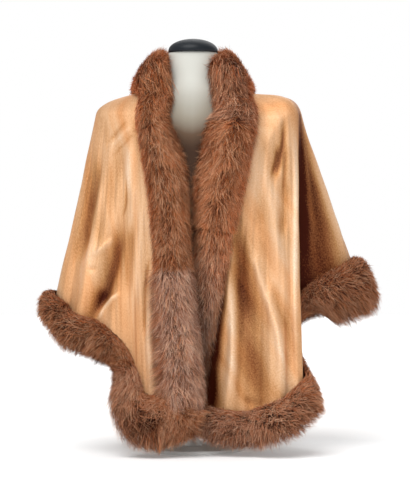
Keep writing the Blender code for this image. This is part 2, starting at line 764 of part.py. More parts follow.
LEFT_JOINT = LAST_ROW - LEFT_BAND_JOINT_ROW
LEFT_COLLAR_JOINT = LAST_ROW - COLLAR_JOINT_ROW
RIGHT_COLLAR_JOINT = LAST_NECK - LAST_ROW + COLLAR_JOINT_ROW
RIGHT_JOINT = LAST_NECK - LAST_ROW + RIGHT_BAND_JOINT_ROW
FRONT = np.array([0.0, -1.0, 0.0])
LEFT_PLANE = unit(np.cross(LEFT_RUN, FRONT))
RIGHT_PLANE = unit(np.cross(FRONT, RIGHT_RUN))
Below = namedtuple("Below", "stations corner normal")
LEFT_BELOW = Below(range(CORNER_STEPS + 1), CAPE[LEFT_EDGE, LAST_ROW], LEFT_PLANE)
RIGHT_BELOW = Below(
    range(LAST_HEM - CORNER_STEPS, LAST_HEM + 1), CAPE[RIGHT_EDGE, LAST_ROW], RIGHT_PLANE
)
build_strip("left_band_lower", NECK_STATIONS, 0, LEFT_JOINT, GREY_FUR, (LEFT_PLANE, None))
build_strip("left_band_upper", NECK_STATIONS, LEFT_JOINT, LEFT_COLLAR_JOINT, RED_FUR)
build_strip("fur_collar", NECK_STATIONS, LEFT_COLLAR_JOINT, RIGHT_COLLAR_JOINT, RED_FUR)
build_strip("right_band_upper", NECK_STATIONS, RIGHT_COLLAR_JOINT, RIGHT_JOINT, RED_FUR)
build_strip("right_band_lower", NECK_STATIONS, RIGHT_JOINT, LAST_NECK, GREY_FUR, (None, RIGHT_PLANE))


def hem_station(angle):
    return CORNER_STEPS + COLUMNS.index(angle)


HEM_JOINTS = [hem_station(angle) for angle in
              (LEFT_HEM_JOINT, BACK_LEFT_JOINT, BACK_RIGHT_JOINT, RIGHT_HEM_JOINT)]
build_strip("left_front_hem_fur", HEM_STATIONS, 0, HEM_JOINTS[0], RED_FUR,
            ends=("round", None), below=LEFT_BELOW)
build_strip("left_sleeve_hem_fur", HEM_STATIONS, HEM_JOINTS[0], HEM_JOINTS[1], RED_FUR)
build_strip("back_hem_fur", HEM_STATIONS, HEM_JOINTS[1], HEM_JOINTS[2], RED_FUR)
build_strip("right_sleeve_hem_fur", HEM_STATIONS, HEM_JOINTS[2], HEM_JOINTS[3], RED_FUR)
build_strip("right_front_hem_fur", HEM_STATIONS, HEM_JOINTS[3], LAST_HEM, RED_FUR,
            ends=(None, "round"), below=RIGHT_BELOW)
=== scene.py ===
import math

import bpy
import numpy as np
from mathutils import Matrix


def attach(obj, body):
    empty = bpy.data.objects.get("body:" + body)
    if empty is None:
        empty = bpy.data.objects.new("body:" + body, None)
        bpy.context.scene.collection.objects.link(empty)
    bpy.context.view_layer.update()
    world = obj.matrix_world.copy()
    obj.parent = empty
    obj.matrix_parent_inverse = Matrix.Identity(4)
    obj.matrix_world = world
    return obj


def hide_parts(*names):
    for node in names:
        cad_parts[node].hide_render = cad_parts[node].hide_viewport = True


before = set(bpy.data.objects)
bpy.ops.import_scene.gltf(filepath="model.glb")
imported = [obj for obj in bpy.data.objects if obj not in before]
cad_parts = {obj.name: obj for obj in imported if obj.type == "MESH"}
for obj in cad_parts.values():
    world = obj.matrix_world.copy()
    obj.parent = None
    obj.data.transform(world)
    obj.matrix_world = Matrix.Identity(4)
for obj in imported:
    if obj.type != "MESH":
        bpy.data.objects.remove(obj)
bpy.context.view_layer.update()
mm = 0.001  # every size below is in millimetres, and meshes are in metres


# Camera, at the photograph's eye height and distance

picture = {"height": 479, "mmPerPixel": 2.1, "distance": 4000, "x": 25, "eyeHeight": 441}


def addObject(name, data):
    made = bpy.data.objects.new(name, data)
    bpy.context.scene.collection.objects.link(made)
    return made


def makeCamera():
    data = bpy.data.cameras.new("camera")
    data.angle = 2 * math.atan(picture["height"] * picture["mmPerPixel"] / 2 / picture["distance"])
    camera = addObject("camera", data)
    camera.location = (picture["x"] * mm, -picture["distance"] * mm, picture["eyeHeight"] * mm)
    camera.rotation_euler = (math.pi / 2, 0, 0)
    bpy.context.scene.camera = camera


makeCamera()


# Small tools

class SmoothLine:  # a smooth line through rows of (place, value, value, ...)
    def __init__(self, rows):
        table = np.array(sorted(rows), dtype=float)
        self.knots, self.values = table[:, 0], table[:, 1:]
        rises = np.diff(self.values, axis=0) / np.diff(self.knots)[:, None]
        before, after = rises[:-1], rises[1:]
        sameWay = before * after > 0
        middle = np.where(sameWay, 2 * before * after / np.where(sameWay, before + after, 1), 0)
        self.slopes = np.vstack([rises[:1], middle, rises[-1:]])

    def at(self, place):
        place = np.asarray(place, dtype=float)
        cell = np.clip(np.searchsorted(self.knots, place, side="right") - 1, 0, len(self.knots) - 2)
        step = (self.knots[cell + 1] - self.knots[cell])[..., None]
        s = np.clip((place - self.knots[cell])[..., None] / step, 0, 1)
        rise = self.values[cell + 1] * (3 * s**2 - 2 * s**3) + self.values[cell] * (1 - 3 * s**2 + 2 * s**3)
        bend = self.slopes[cell] * (s - 2 * s**2 + s**3) + self.slopes[cell + 1] * (s**3 - s**2)
        return rise + bend * step

    def columns(self, place):
        return np.moveaxis(self.at(place), -1, 0)


def unit(vectors):
    return vectors / np.maximum(np.linalg.norm(vectors, axis=-1, keepdims=True), 1e-9)


def smooth(x):
    x = np.clip(x, 0, 1)
    return x * x * (3 - 2 * x)


def lengthsAlong(points):
    return np.concatenate([[0], np.cumsum(np.linalg.norm(np.diff(points, axis=0), axis=1))])


def meshFrom(name, points, faces, uv=None, uvName="cloth"):  # faces all have the same number of corners
    faces = np.asarray(faces)
    corners = faces.shape[1]
    mesh = bpy.data.meshes.new(name)
    mesh.vertices.add(len(points))
    mesh.vertices.foreach_set("co", (np.asarray(points) * mm).astype(np.float32).ravel())
    mesh.loops.add(faces.size)
    mesh.loops.foreach_set("vertex_index", faces.astype(np.int32).ravel())
    mesh.polygons.add(len(faces))
    mesh.polygons.foreach_set("loop_start", np.arange(0, faces.size, corners, dtype=np.int32))
    mesh.update(calc_edges=True)
    mesh.shade_smooth()
    if uv is not None:
        layer = mesh.uv_layers.new(name=uvName)
        layer.data.foreach_set("uv", np.asarray(uv)[faces.ravel()].astype(np.float32).ravel())
    return addObject(name, mesh)


def addValues(piece, name, values):  # one number for each vertex, read by the paint
    layer = piece.data.attributes.new(name, "FLOAT", "POINT")
    layer.data.foreach_set("value", values.astype(np.float32))


def cells(grid):  # the corners of each cell of a grid of vertex numbers
    return grid[:-1, :-1], grid[:-1, 1:], grid[1:, 1:], grid[1:, :-1]


def rowsOf(*columns):
    return np.stack(columns, -1).reshape(-1, len(columns))


def triangles(grid):
    a, b, c, d = cells(grid)
    return np.vstack([rowsOf(a, b, c), rowsOf(a, c, d)])


# Materials

class Wire:  # an output, with arithmetic that adds Math nodes
    def __init__(self, paint, output):
        self.paint, self.output = paint, output

    def math(self, kind, first, second=0.0):
        return self.paint.node("ShaderNodeMath", {"operation": kind}, {0: first, 1: second})

    def __add__(self, other):
        return self.math("ADD", self, other)

    def __sub__(self, other):
        return self.math("SUBTRACT", self, other)

    def __rsub__(self, other):
        return self.math("SUBTRACT", other, self)

    def __mul__(self, other):
        return self.math("MULTIPLY", self, other)

    __radd__, __rmul__ = __add__, __mul__

    def wave(self):
        return self.math("SINE", self)

    def whole(self):
        return self.math("FLOOR", self)

    def clipped(self):
        return self.math("MINIMUM", self.math("MAXIMUM", self, 0.0), 1.0)


class Paint:  # one material with a Principled shader
    def __init__(self, name, constants):
        self.material = bpy.data.materials.new(name)
        self.material.use_nodes = True
        self.tree = self.material.node_tree
        self.shader = self.tree.nodes["Principled BSDF"]
        self.set(self.shader, constants)

    def set(self, made, inputs):
        for name, value in inputs.items():
            if isinstance(value, Wire):
                self.tree.links.new(value.output, made.inputs[name])
            else:
                made.inputs[name].default_value = value

    def node(self, kind, settings, inputs, output=0):
        made = self.tree.nodes.new(kind)
        for name, value in settings.items():
            if name == "stops":
                ramp = made.color_ramp
                while len(ramp.elements) < len(value):
                    ramp.elements.new(0.5)
                for element, (place, colour) in zip(ramp.elements, value):
                    element.position = place
                    element.color = (*colour, 1)
            else:
                setattr(made, name, value)
        self.set(made, inputs)
        return Wire(self, made.outputs[output])

    def mix(self, share, first, second, blend="MIX"):
        colours = [(*c, 1) if isinstance(c, tuple) else c for c in (first, second)]
        settings = {"data_type": "RGBA", "blend_type": blend}
        return self.node("ShaderNodeMix", settings, {0: share, 6: colours[0], 7: colours[1]}, 2)

    def uv(self, name):
        layer = self.node("ShaderNodeUVMap", {"uv_map": name}, {})
        split = self.node("ShaderNodeSeparateXYZ", {}, {0: layer})
        return split, Wire(self, split.output.node.outputs[1])

    def attribute(self, name):
        return self.node("ShaderNodeAttribute", {"attribute_name": name}, {}, 2)

    def tint(self, share, colour, by):
        return self.mix(share, colour, by, "MULTIPLY")

    def objectPlace(self):
        return self.node("ShaderNodeTexCoord", {}, {}, 3)

    def noise(self, where, scale, detail=2.0):
        return self.node("ShaderNodeTexNoise", {}, {"Vector": where, "Scale": scale, "Detail": detail})

    def grain(self, across, down, detail):
        return self.noise(self.node("ShaderNodeCombineXYZ", {}, {0: across, 1: down}), 1.0, detail)

    def surface(self, inputs):
        self.set(self.shader, inputs)
        return self.material

    def bump(self, height, strength, depth):
        return self.node("ShaderNodeBump", {}, {"Height": height, "Strength": strength, "Distance": depth})


# Dress form, cap and stand

form = {
    "sections": [  # height, half width, front, back
        (832, 51.5, 47, 52), (800, 52, 48, 53), (780, 55, 50, 58), (765, 66, 55, 65),
        (750, 105, 62, 75), (732, 148, 68, 82), (716, 174, 76, 88), (700, 187, 85, 94),
        (670, 190, 97, 99), (630, 182, 110, 102), (580, 172, 121, 100), (520, 156, 108, 92),
        (450, 128, 82, 84), (380, 148, 80, 96), (310, 166, 82, 104), (250, 166, 82, 102),
        (200, 148, 72, 90), (165, 108, 52, 66), (152, 62, 30, 38), (147, 26, 16, 18),
    ],
    "sides": 72,
    "rowStep": 6,
    "shaded": [(0.0, (0.64, 0.64, 0.59)), (0.45, (0.31, 0.275, 0.22)),
               (0.75, (0.12, 0.075, 0.048)), (1.0, (0.05, 0.026, 0.016))],
    # The chest lies in the shadow of the collar, deepest where the bands meet.
    "shadow": [(0.40, 790, 110), (0.60, 705, 90)],  # share, height where it starts, fade
    "sideShadow": (0.15, 820, 60), "chestMiddle": -4, "chestHalf": 45,
    "shadowFoot": (250, 120), "shadowFront": 30,
}
formLine = SmoothLine(form["sections"])


def formPoints(angle, z):
    halfWidth, front, back = formLine.columns(z)
    turn = np.radians(angle)
    depth = np.where(np.cos(turn) > 0, front, back)
    return np.stack([-halfWidth * np.sin(turn), -depth * np.cos(turn), z + 0 * turn], -1)


def formNormals(angle, z):
    roundIt = formPoints(angle + 0.2, z) - formPoints(angle - 0.2, z)
    downIt = formPoints(angle, z - 1) - formPoints(angle, z + 1)
    return unit(np.cross(roundIt, downIt))


def clearOfForm(points, clearance):
    halfWidth, front, back = formLine.columns(points[..., 2])
    depth = np.where(points[..., 1] < 0, front, back)
    inside = np.hypot(points[..., 0] / (halfWidth + clearance), points[..., 1] / (depth + clearance))
    levels = (points[..., 2] > form["sections"][-1][0]) & (points[..., 2] < form["sections"][0][0])
    grow = np.where(levels & (inside < 1), 1 / np.maximum(inside, 0.05), 1)
    return points * np.stack([grow, grow, np.ones_like(grow)], -1)


def withEnds(rings):
    return np.vstack([rings.reshape(-1, 3), rings[0].mean(0), rings[-1].mean(0)])


def ringsMesh(name, rings):  # closed rings of equal size, with a fan at each end
    count, size = rings.shape[:2]
    grid = np.arange(count * size).reshape(count, size)
    first, last = grid.size, grid.size + 1
    top = rowsOf(np.full(size, first), np.roll(grid[0], -1), grid[0])
    foot = rowsOf(np.full(size, last), grid[-1], np.roll(grid[-1], -1))
    sides = triangles(np.hstack([grid, grid[:, :1]]))
    return meshFrom(name, withEnds(rings), np.vstack([sides, top, foot]))


def formPaint():
    paint = Paint("off-white jersey cover", {"Roughness": 0.85, "Specular IOR Level": 0.12})
    where = paint.objectPlace()
    soft, knit = paint.noise(where, 9.0), paint.noise(where, 900.0)
    shade = paint.node("ShaderNodeValToRGB", {"stops": form["shaded"]}, {0: paint.attribute("shade")})
    colour = paint.tint(soft, shade, (0.93, 0.93, 0.92))
    return paint.surface({"Base Color": colour, "Normal": paint.bump(knit, 0.15, 0.0005)})


def chestShade(points):
    x, y, z = points.T
    low = sum(share * smooth((start - z) / fade) for share, start, fade in form["shadow"])
    share, start, fade = form["sideShadow"]
    side = share * smooth(np.abs(x - form["chestMiddle"]) / form["chestHalf"]) * smooth((start - z) / fade)
    foot, fade = form["shadowFoot"]
    return np.clip(low + side, 0, 1) * smooth(-y / form["shadowFront"]) * smooth((z - foot) / fade)


def makeForm():
    heights = [row[0] for row in form["sections"]]
    levels = []
    for high, low in zip(heights, heights[1:]):
        steps = max(1, math.ceil((high - low) / form["rowStep"]))
        levels += [high + (low - high) * i / steps for i in range(steps)]
    levels.append(heights[-1])
    angles = np.arange(form["sides"]) * 360 / form["sides"]
    rings = np.array([formPoints(angles, np.full(len(angles), z)) for z in levels])
    torso = ringsMesh("torso", rings)
    addValues(torso, "shade", chestShade(withEnds(rings)))
    torso.data.materials.append(formPaint())
    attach(torso, "root")
    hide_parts("dress_form")
    return torso


cap = {"radius": 52, "bottom": 832.3, "rim": 837, "top": 862, "steps": 16,
       "colour": (0.004, 0.006, 0.009), "scuffed": (0.012, 0.016, 0.021)}
stand = {"radius": 110, "thickness": 8, "edge": 2.5, "middle": 20,
         "postRadius": 14, "postTop": 146.7, "flare": 4,
         "colour": (0.80, 0.80, 0.78), "dull": 0.95}


def turned(name, profile):  # a profile of (radius, height) turned about the upright axis
    sides = form["sides"]
    turn = np.arange(sides) * 2 * math.pi / sides
    rings = [np.stack([r * np.sin(turn), -r * np.cos(turn), np.full(sides, z)], -1) for r, z in profile]
    return ringsMesh(name, np.array(rings))


def makeCap():
    turns = np.linspace(0.04, math.pi / 2, cap["steps"])
    rise = cap["top"] - cap["rim"]
    profile = [(cap["radius"] * math.sin(t), cap["rim"] + rise * math.cos(t)) for t in turns]
    profile += [(cap["radius"], cap["bottom"] + 1), (cap["radius"] - 1, cap["bottom"])]
    piece = turned("cap", profile)
    paint = Paint("black cap", {"Coat Weight": 0.05, "Coat Roughness": 0.25, "Specular IOR Level": 0.25})
    scuff = paint.noise(paint.objectPlace(), 60.0, 4.0)
    colour = paint.mix(scuff, cap["colour"], cap["scuffed"])
    piece.data.materials.append(paint.surface({"Base Color": colour, "Roughness": 0.38 + 0.2 * scuff}))
    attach(piece, "root")
    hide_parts("neck_cap")


def makeStand():
    paint = Paint("white enamel", {"Coat Weight": 0.2})
    peel = paint.noise(paint.objectPlace(), 240.0, 3.0)
    colour = paint.mix(peel, stand["colour"], tuple(stand["dull"] * c for c in stand["colour"]))
    enamel = paint.surface({"Base Color": colour, "Roughness": 0.35 + 0.15 * peel,
                            "Normal": paint.bump(peel, 0.1, 0.0003)})
    edge, r, high = stand["edge"], stand["radius"], stand["thickness"]
    bends = [i * math.pi / 8 for i in range(5)]
    plate = [(stand["middle"], high)]
    plate += [(r - edge + edge * math.sin(t), high - edge + edge * math.cos(t)) for t in bends]
    plate += [(r, 0.5), (r - 0.5, 0)]
    r, top, flare = stand["postRadius"], stand["postTop"], stand["flare"]
    post = [(r - 1, top), (r, top - 1), (r, high + 6), (r + flare, high + 1.5), (r + flare, high + 0.3)]
    for name, profile, node in (("basePlate", plate, "stand_base"), ("post", post, "stand_post")):
        piece = turned(name, profile)
        piece.data.materials.append(enamel)
        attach(piece, "root")
        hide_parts(node)


torso = makeForm()
makeCap()
makeStand()
print("form, cap and stand made")


# Cape surface. Angles run round the form: 0 is its front, 90 its left side (-X), 180 its back.

cape = {
    "ease": 2.4,  # middle of the cloth from the form, over the shoulders
    "yokeShare": 0.3,  # share of the way down that lies on the shoulders
    "liftRise": 0.7,  # how early the cloth lifts off on its way out
    "shoulderPull": 0.35,  # how far the slope of the shoulders carries on, as a share of the drop
    "pullFade": 4,
    "leftEdge": 30, "rightEdge": 324,
    "yoke": [  # angle, neck shift, neck height, height where the cloth leaves the form, lift there
        (30, 6, 720, 580, 0), (40, 5, 732, 605, 0), (52, 2, 739, 640, 0), (68, 0, 744, 677, 5),
        (90, 0, 746, 698, 14), (120, 0, 740, 675, 6), (150, 0, 731, 645, 0), (180, 0, 726, 630, 0),
        (210, 0, 731, 645, 4), (240, 0, 740, 676, 21), (270, 0, 746, 694, 38), (286, 0, 745, 694, 39),
        (300, -1, 742, 672, 25), (312, -3, 735, 628, 9), (324, -5, 720, 580, 0),
    ],
    "hem": [  # angle, x, y, z, reach of the fur, thickness of the fur
        (30, -57, -156, 119, 108, 36), (34, -79, -157, 115, 106, 36), (36, -90, -156, 117, 108, 36),
        (38, -99, -154, 124, 92, 36), (42, -110, -151, 145, 70, 34), (46, -122, -147, 185, 46, 28),
        (50, -135, -142, 217, 50, 30), (55, -156, -134, 243, 60, 32), (62, -195, -118, 269, 74, 34),
        (70, -233, -100, 282, 76, 36), (80, -267, -66, 310, 66, 38), (90, -280, -20, 327, 60, 38),
        (104, -280, 40, 313, 61, 36), (120, -243, 85, 281, 70, 34), (138, -180, 115, 235, 70, 32),
        (150, -132, 128, 192, 52, 28), (156, -110, 131, 142, 70, 32), (162, -80, 135, 105, 82, 34),
        (180, 3, 138, 92, 80, 34), (198, 112, 135, 104, 82, 34), (205, 132, 132, 140, 66, 32),
        (212, 152, 130, 205, 46, 28), (226, 206, 118, 305, 58, 30), (242, 288, 90, 352, 78, 34),
        (256, 328, 50, 383, 103, 38), (263, 335, 22, 389, 112, 40), (270, 329, -6, 388, 114, 42),
        (273, 310, -25, 377, 113, 40), (275, 285, -35, 364, 111, 38), (277, 258, -38, 349, 104, 34),
        (279, 229, -41, 330, 74, 22), (281.5, 210, -46, 292, 42, 12), (283, 204, -64, 244, 42, 14),
        (284.5, 210, -88, 203, 76, 24), (286, 219, -114, 172, 84, 32), (288.5, 224, -135, 156, 82, 34),
        (292, 213, -147, 141, 76, 36), (296, 193, -151, 121, 78, 36), (301, 170, -152, 107, 82, 36),
        (306, 136, -149, 94, 79, 36), (311, 104, -139, 87, 75, 36), (316, 70, -124, 88, 72, 34),
        (320, 41, -112, 93, 67, 32), (324, 15, -104, 98, 60, 30),
    ],
    "folds": [  # angle at the shoulders, at the hem, where it starts, width, depth (+ stands out)
        (38, 41, 0.25, 3.0, -5), (48, 62, 0.25, 4.5, -11), (54, 70, 0.10, 5.0, 8), (70, 77, 0.05, 4.5, -9),
        (80, 85, 0.20, 5.0, 6), (104, 108, 0.10, 7.0, -9), (122, 124, 0.15, 8.0, 11),
        (141, 140, 0.05, 8.0, -10), (158, 160, 0.20, 7.0, 10), (178, 181, 0.05, 9.0, -11),
        (199, 196, 0.15, 8.0, 11), (220, 217, 0.10, 8.0, -10), (238, 235, 0.20, 8.0, 10),
        (255, 252, 0.05, 6.0, -8), (297, 294, 0.10, 3.5, -6), (303, 300, 0.15, 4.0, 7),
        (309, 309, 0.30, 4.5, -13), (316, 316, 0.30, 4.0, 6),
    ],
}
yokeLine, hemLine = SmoothLine(cape["yoke"]), SmoothLine(cape["hem"])


def yokePoints(angle, share):
    neckShift, neckZ, turnZ, lift = yokeLine.columns(angle)
    z = neckZ + (turnZ - neckZ) * share
    place = angle + neckShift * (1 - share)
    away = cape["ease"] + lift * smooth(share) ** cape["liftRise"]
    return formPoints(place, z) + formNormals(place, z) * away[..., None]


def plainPoints(angle, down):  # from the neck (0) to the hem (1), without folds
    fall = np.clip((down - cape["yokeShare"]) / (1 - cape["yokeShare"]), 0, 1)[..., None]
    yoke = yokePoints(angle, np.minimum(down / cape["yokeShare"], 1))
    turn = yokePoints(angle, np.ones_like(down))
    slope = unit(turn - yokePoints(angle, np.full_like(down, 0.99)))
    drop = hemLine.at(angle)[..., :3] - turn
    pull = np.linalg.norm(drop, axis=-1, keepdims=True) * cape["shoulderPull"]
    hanging = turn + drop * fall + slope * pull * fall * (1 - fall) ** cape["pullFade"]
    return np.where(fall > 0, hanging, yoke)


def normalsOf(surface, angle, down, angleStep=0.2, downStep=0.01):
    before = np.maximum(angle - angleStep, cape["leftEdge"])
    after = np.minimum(angle + angleStep, cape["rightEdge"])
    above, below = np.maximum(down - downStep, 0), np.minimum(down + downStep, 1)
    roundIt = surface(after, down) - surface(before, down)
    downIt = surface(angle, below) - surface(angle, above)
    return unit(np.cross(roundIt, downIt))


def capePoints(angle, down):
    fall = np.clip((down - cape["yokeShare"]) / (1 - cape["yokeShare"]), 0, 1)
    depth = np.zeros_like(fall)
    for top, hem, start, width, height in cape["folds"]:
        away = (angle - top - (hem - top) * fall) / width
        depth += height * smooth((fall - start) / (1 - start)) * np.exp(-away * away)
    return plainPoints(angle, down) + normalsOf(plainPoints, angle, down) * depth[..., None]


# Creases by panel and by the side they are seen from: width, depth (+ stands out), painted highlight (+)
# or painted shade (-) that the crease lays on the cloth's colour, then the route as across, height, across,
# height, or for "round" as angle and share of the way down.

creases = {
    ("left_front", "front"): [
        (15, -6, -0.75, -178, 640, -190, 580, -208, 510, -224, 430, -245, 381),
        (10, 5, 0.6, -166, 660, -182, 590, -200, 500, -214, 420, -226, 330),
        (15, -3, -0.28, -136, 650, -166, 560, -186, 480, -200, 400),
        (3, -2.5, -0.6, -136, 580, -137, 520, -146, 480),
        (8, 3, 0.6, -126, 660, -130, 590, -132, 520),
        (7, 3, 0.35, -122, 560, -124, 500, -132, 440),
        (17, -5, -0.70, -148, 480, -158, 410, -174, 350, -208, 282),
        (8, -4, -0.50, -146, 500, -156, 410, -174, 340, -212, 262),
        (13, -2, -0.70, -178, 350, -216, 262),
        (3.5, 6, 1.0, -146, 335, -166, 318, -182, 300, -196, 270),
        (5, 3, 0.35, -210, 405, -185, 424, -156, 446),
        (3, -2, -0.3, -216, 381, -196, 381),
        (11, -4, -0.35, -119, 500, -129, 400, -135, 310),
        (9, 3.5, 0.35, -104, 540, -110, 420, -118, 280),
        (3, -3, -0.7, -86, 420, -98, 320, -98, 220),
        (8, 3, 0.3, -84, 360, -90, 250, -82, 160),
        (7, -3, -0.45, -74, 320, -74, 220, -68, 130),
        (3.5, -1.8, -0.34, -180, 636, -156, 664, -131, 692),
        (3.5, 1.6, 0.3, -172, 628, -148, 654, -122, 680),
        (3, -1.5, -0.3, -170, 606, -144, 636, -118, 662),
        (9, -1.5, -0.2, -120, 700, -112, 590),
    ],
    ("left_front", "left"): [
        (14, -5, -0.4, -20, 660, -52, 480, -70, 340),
        (14, 5, 0.35, 30, 680, 12, 490, 8, 340),
    ],
    ("right_front", "front"): [
        (5.5, -4, -0.95, 190, 704, 187, 650, 178, 600, 164, 550),
        (4, -3, -0.7, 176, 640, 170, 600, 158, 560),
        (4, -2.5, -0.7, 192, 640, 190, 590, 186, 530),
        (10, -2, -0.25, 176, 650, 172, 610, 162, 570),
        (9, -4, -0.55, 192, 570, 190, 520, 184, 440),
        (5, 2, 0.8, 209, 700, 212, 560, 209, 420, 208, 300, 208, 190),
        (13, 3, 0.35, 118, 690, 126, 600, 136, 480),
        (11, -3.5, -0.28, 131, 580, 145, 460, 159, 330),
        (11, 4, 0.32, 151, 620, 166, 480, 184, 360, 198, 220),
        (12, -8, -0.38, 80, 540, 94, 450, 102, 350, 110, 210),
        (23, -4, -0.82, 90, 520, 108, 360, 122, 220, 128, 20),
        (8, -3, -0.45, 90, 440, 94, 330, 94, 220, 90, 60),
        (8, 5, 0.58, 106, 460, 124, 400, 141, 351, 157, 304, 169, 267, 179, 210, 185, 120),
        (7, -3, -0.35, 163, 359, 177, 304, 206, 241),
        (9, 4, 0.75, 70, 400, 80, 290, 82, 200, 74, 100),
        # painted shadow on the cloth beside the lower fur bands
        (14, -2, -1.9, 60, 440, 54, 330, 45, 230, 39, 150, 37, 20),
        (5, -3, -0.35, 100, 122, 124, 110, 150, 112),
        (9, -3, -0.25, 190, 340, 196, 250, 196, 150),
    ],
    ("right_front", "round"): [
        # The first two rows paint shade on the sleeve cloth behind the fold's edge, the last two painted
        # highlight.
        (19, -3, -1.65, 279.6, 0.05, 279.4, 0.40, 279, 0.60, 278.8, 0.80, 278.6, 1.40),
        (6, -2, -0.45, 275.2, 0.30, 274.8, 0.60, 274.6, 1.40),
        (3, 2, 0.35, 276.6, 0.35, 276.8, 0.65, 277.2, 1.0),
        (9, 3, 0.4, 270.5, 0.35, 270, 0.70, 270, 1.0),
    ],
    ("right_front", "right"): [
        (13, 5, 0.35, 20, 680, 12, 530, 10, 390),
    ],
    ("back", "back"): [
        (19, -5, -0.42, -150, 600, -176, 460, -196, 330),
        (17, 4, 0.35, -120, 620, -132, 470, -140, 300),
        (20, -5, -0.42, -70, 600, -66, 420, -50, 240, -54, 150),
        (18, 4, 0.32, -20, 560, -24, 380, -12, 200),
        (20, -5, -0.42, 40, 620, 52, 440, 66, 250, 60, 140),
        (17, 4, 0.35, 92, 600, 112, 430, 128, 260),
        (19, -5, -0.42, 140, 640, 186, 500, 226, 370),
        (7, -2, -0.2, 120, 664, 150, 636),
        (7, -2, -0.2, -110, 660, -144, 630),
        (9, 2, 0.3, -60, 668, 60, 664),
        (8, 3, 0.35, -96, 420, -104, 330, -96, 240),
        (8, -3, -0.35, 10, 360, 22, 280, 18, 190),
    ],
    ("back", "left"): [
        (19, -5, -0.42, 60, 650, 66, 480, 62, 330),
        (16, 4, 0.32, 86, 620, 100, 470, 104, 320),
    ],
    ("back", "right"): [
        (19, -5, -0.42, 54, 660, 70, 520, 76, 400),
        (16, 4, 0.32, 84, 640, 104, 500, 110, 370),
    ],
}
looks = {"front": ((1, 0, 0), (0, -1, 0)), "back": ((1, 0, 0), (0, 1, 0)),
         "left": ((0, 1, 0), (-1, 0, 0)), "right": ((0, 1, 0), (1, 0, 0))}
roundScale = (4.5, 600)  # millimetres for a degree round the cape and for its whole length
creaseEnds = 0.30  # share of a crease over which it fades at each end
shoulder = 0.16  # share of the way down above which nothing sinks in


def routeDistance(flat, route):  # distance to a broken line, and how far along it (0 to 1)
    route = np.array(route, dtype=float)
    lengths = lengthsAlong(route)
    best, along = np.full(flat.shape[:-1], 1e9), np.zeros(flat.shape[:-1])
    for start, end, before, after in zip(route, route[1:], lengths, lengths[1:]):
        run = end - start
        share = np.clip(((flat - start) @ run) / (run @ run), 0, 1)
        away = np.linalg.norm(flat - start - share[..., None] * run, axis=-1)
        nearer = away < best
        best = np.where(nearer, away, best)
        along = np.where(nearer, (before + (after - before) * share) / lengths[-1], along)
    return best, along


def creaseLift(points, normals, angle, down, panel):
    lift, tone = np.zeros(points.shape[:-1]), np.zeros(points.shape[:-1])
    for look in [side for node, side in creases if node == panel]:
        scale = roundScale if look == "round" else (1, 1)
        if look == "round":
            flat, facing = np.stack([angle, down], -1) * scale, 1
        else:
            across, toward = (np.array(v, dtype=float) for v in looks[look])
            flat = np.stack([points @ across, points[..., 2]], -1)
            facing = smooth((normals @ toward) * 2.5)
        for width, depth, pale, *route in creases[panel, look]:
            route = np.reshape(route, (-1, 2)) * scale
            line = SmoothLine([(i, *place) for i, place in enumerate(route)])
            away, along = routeDistance(flat, line.at(np.linspace(0, len(route) - 1, 6 * len(route))))
            fade = smooth(np.minimum(along, 1 - along) / creaseEnds) * facing
            lift += depth * np.exp(-((away / width) ** 2)) * fade
            # painted shade (-) or painted highlight (+) of the crease, for the cloth's colour
            tone += pale * np.exp(-((away / (width * 1.1)) ** 2)) * fade
    worn = smooth((down - shoulder) / shoulder)
    return np.where(lift < 0, lift * worn, lift * (0.3 + 0.7 * worn)), tone


cut = {
    "cloth": 1.2,  # thickness
    "panels": {
        "left_front": {"name": "leftFront", "angles": (30, 90), "cells": (110, 120), "flat": (0.34, 0.64),
                       "fur": ["left_band_upper", "left_band_lower", "left_front_hem_fur"]},
        "back": {"name": "backPanel", "angles": (90, 270), "cells": (170, 100), "flat": (0.94, 0.72),
                 "fur": ["fur_collar", "left_sleeve_hem_fur", "back_hem_fur", "right_sleeve_hem_fur"]},
        "right_front": {"name": "rightFront", "angles": (270, 324), "cells": (120, 120),
                        "flat": (0.46, 0.70),
                        "fur": ["right_band_upper", "right_band_lower", "right_front_hem_fur"]},
    },
    "flutter": [  # the slight unevenness of hanging cloth: height, waves round, down, start, wobble
        (0.9, 0.43, 2.2, 0, 0), (0.6, 1.07, -5, 1.3, 0), (0.35, 2.3, 9, 0, 0.6), (0.3, 0.35, 31, 0, 0),
    ],
    # The stops run from painted shade at 0, through the cloth's own colour near the middle, to painted
    # highlight at 1.
    "stops": [(0.0, (0.046, 0.006, 0.001)), (0.20, (0.225, 0.080, 0.028)), (0.42, (0.48, 0.235, 0.092)),
              (0.60, (0.66, 0.38, 0.20)), (0.80, (0.77, 0.52, 0.335)), (1.0, (0.93, 0.74, 0.56))],
    "even": 0.61, "creaseShading": 0.40,  # place on the stops of flat cloth, and how far the painted shade and highlight of a crease move it
    "streaks": (38.0, 4.0, 4.0, 0.24),  # scale across, scale down, detail, how far they move it
    "clouds": (13.0, 5.0, 3.0, 0.36),
    "fine": (360.0, 240.0, 4.0, 0.44),
    "warm": (1.0, 0.80, 0.62),
    "thread": 0.0016,
}


def flutter(angle, down):
    sway = 0
    for height, around, along, start, wobble in cut["flutter"]:
        sway = sway + height * np.sin(angle * around + along * down + start + wobble * np.sin(angle * 0.7))
    return sway * smooth((down - 0.2) / 0.3)


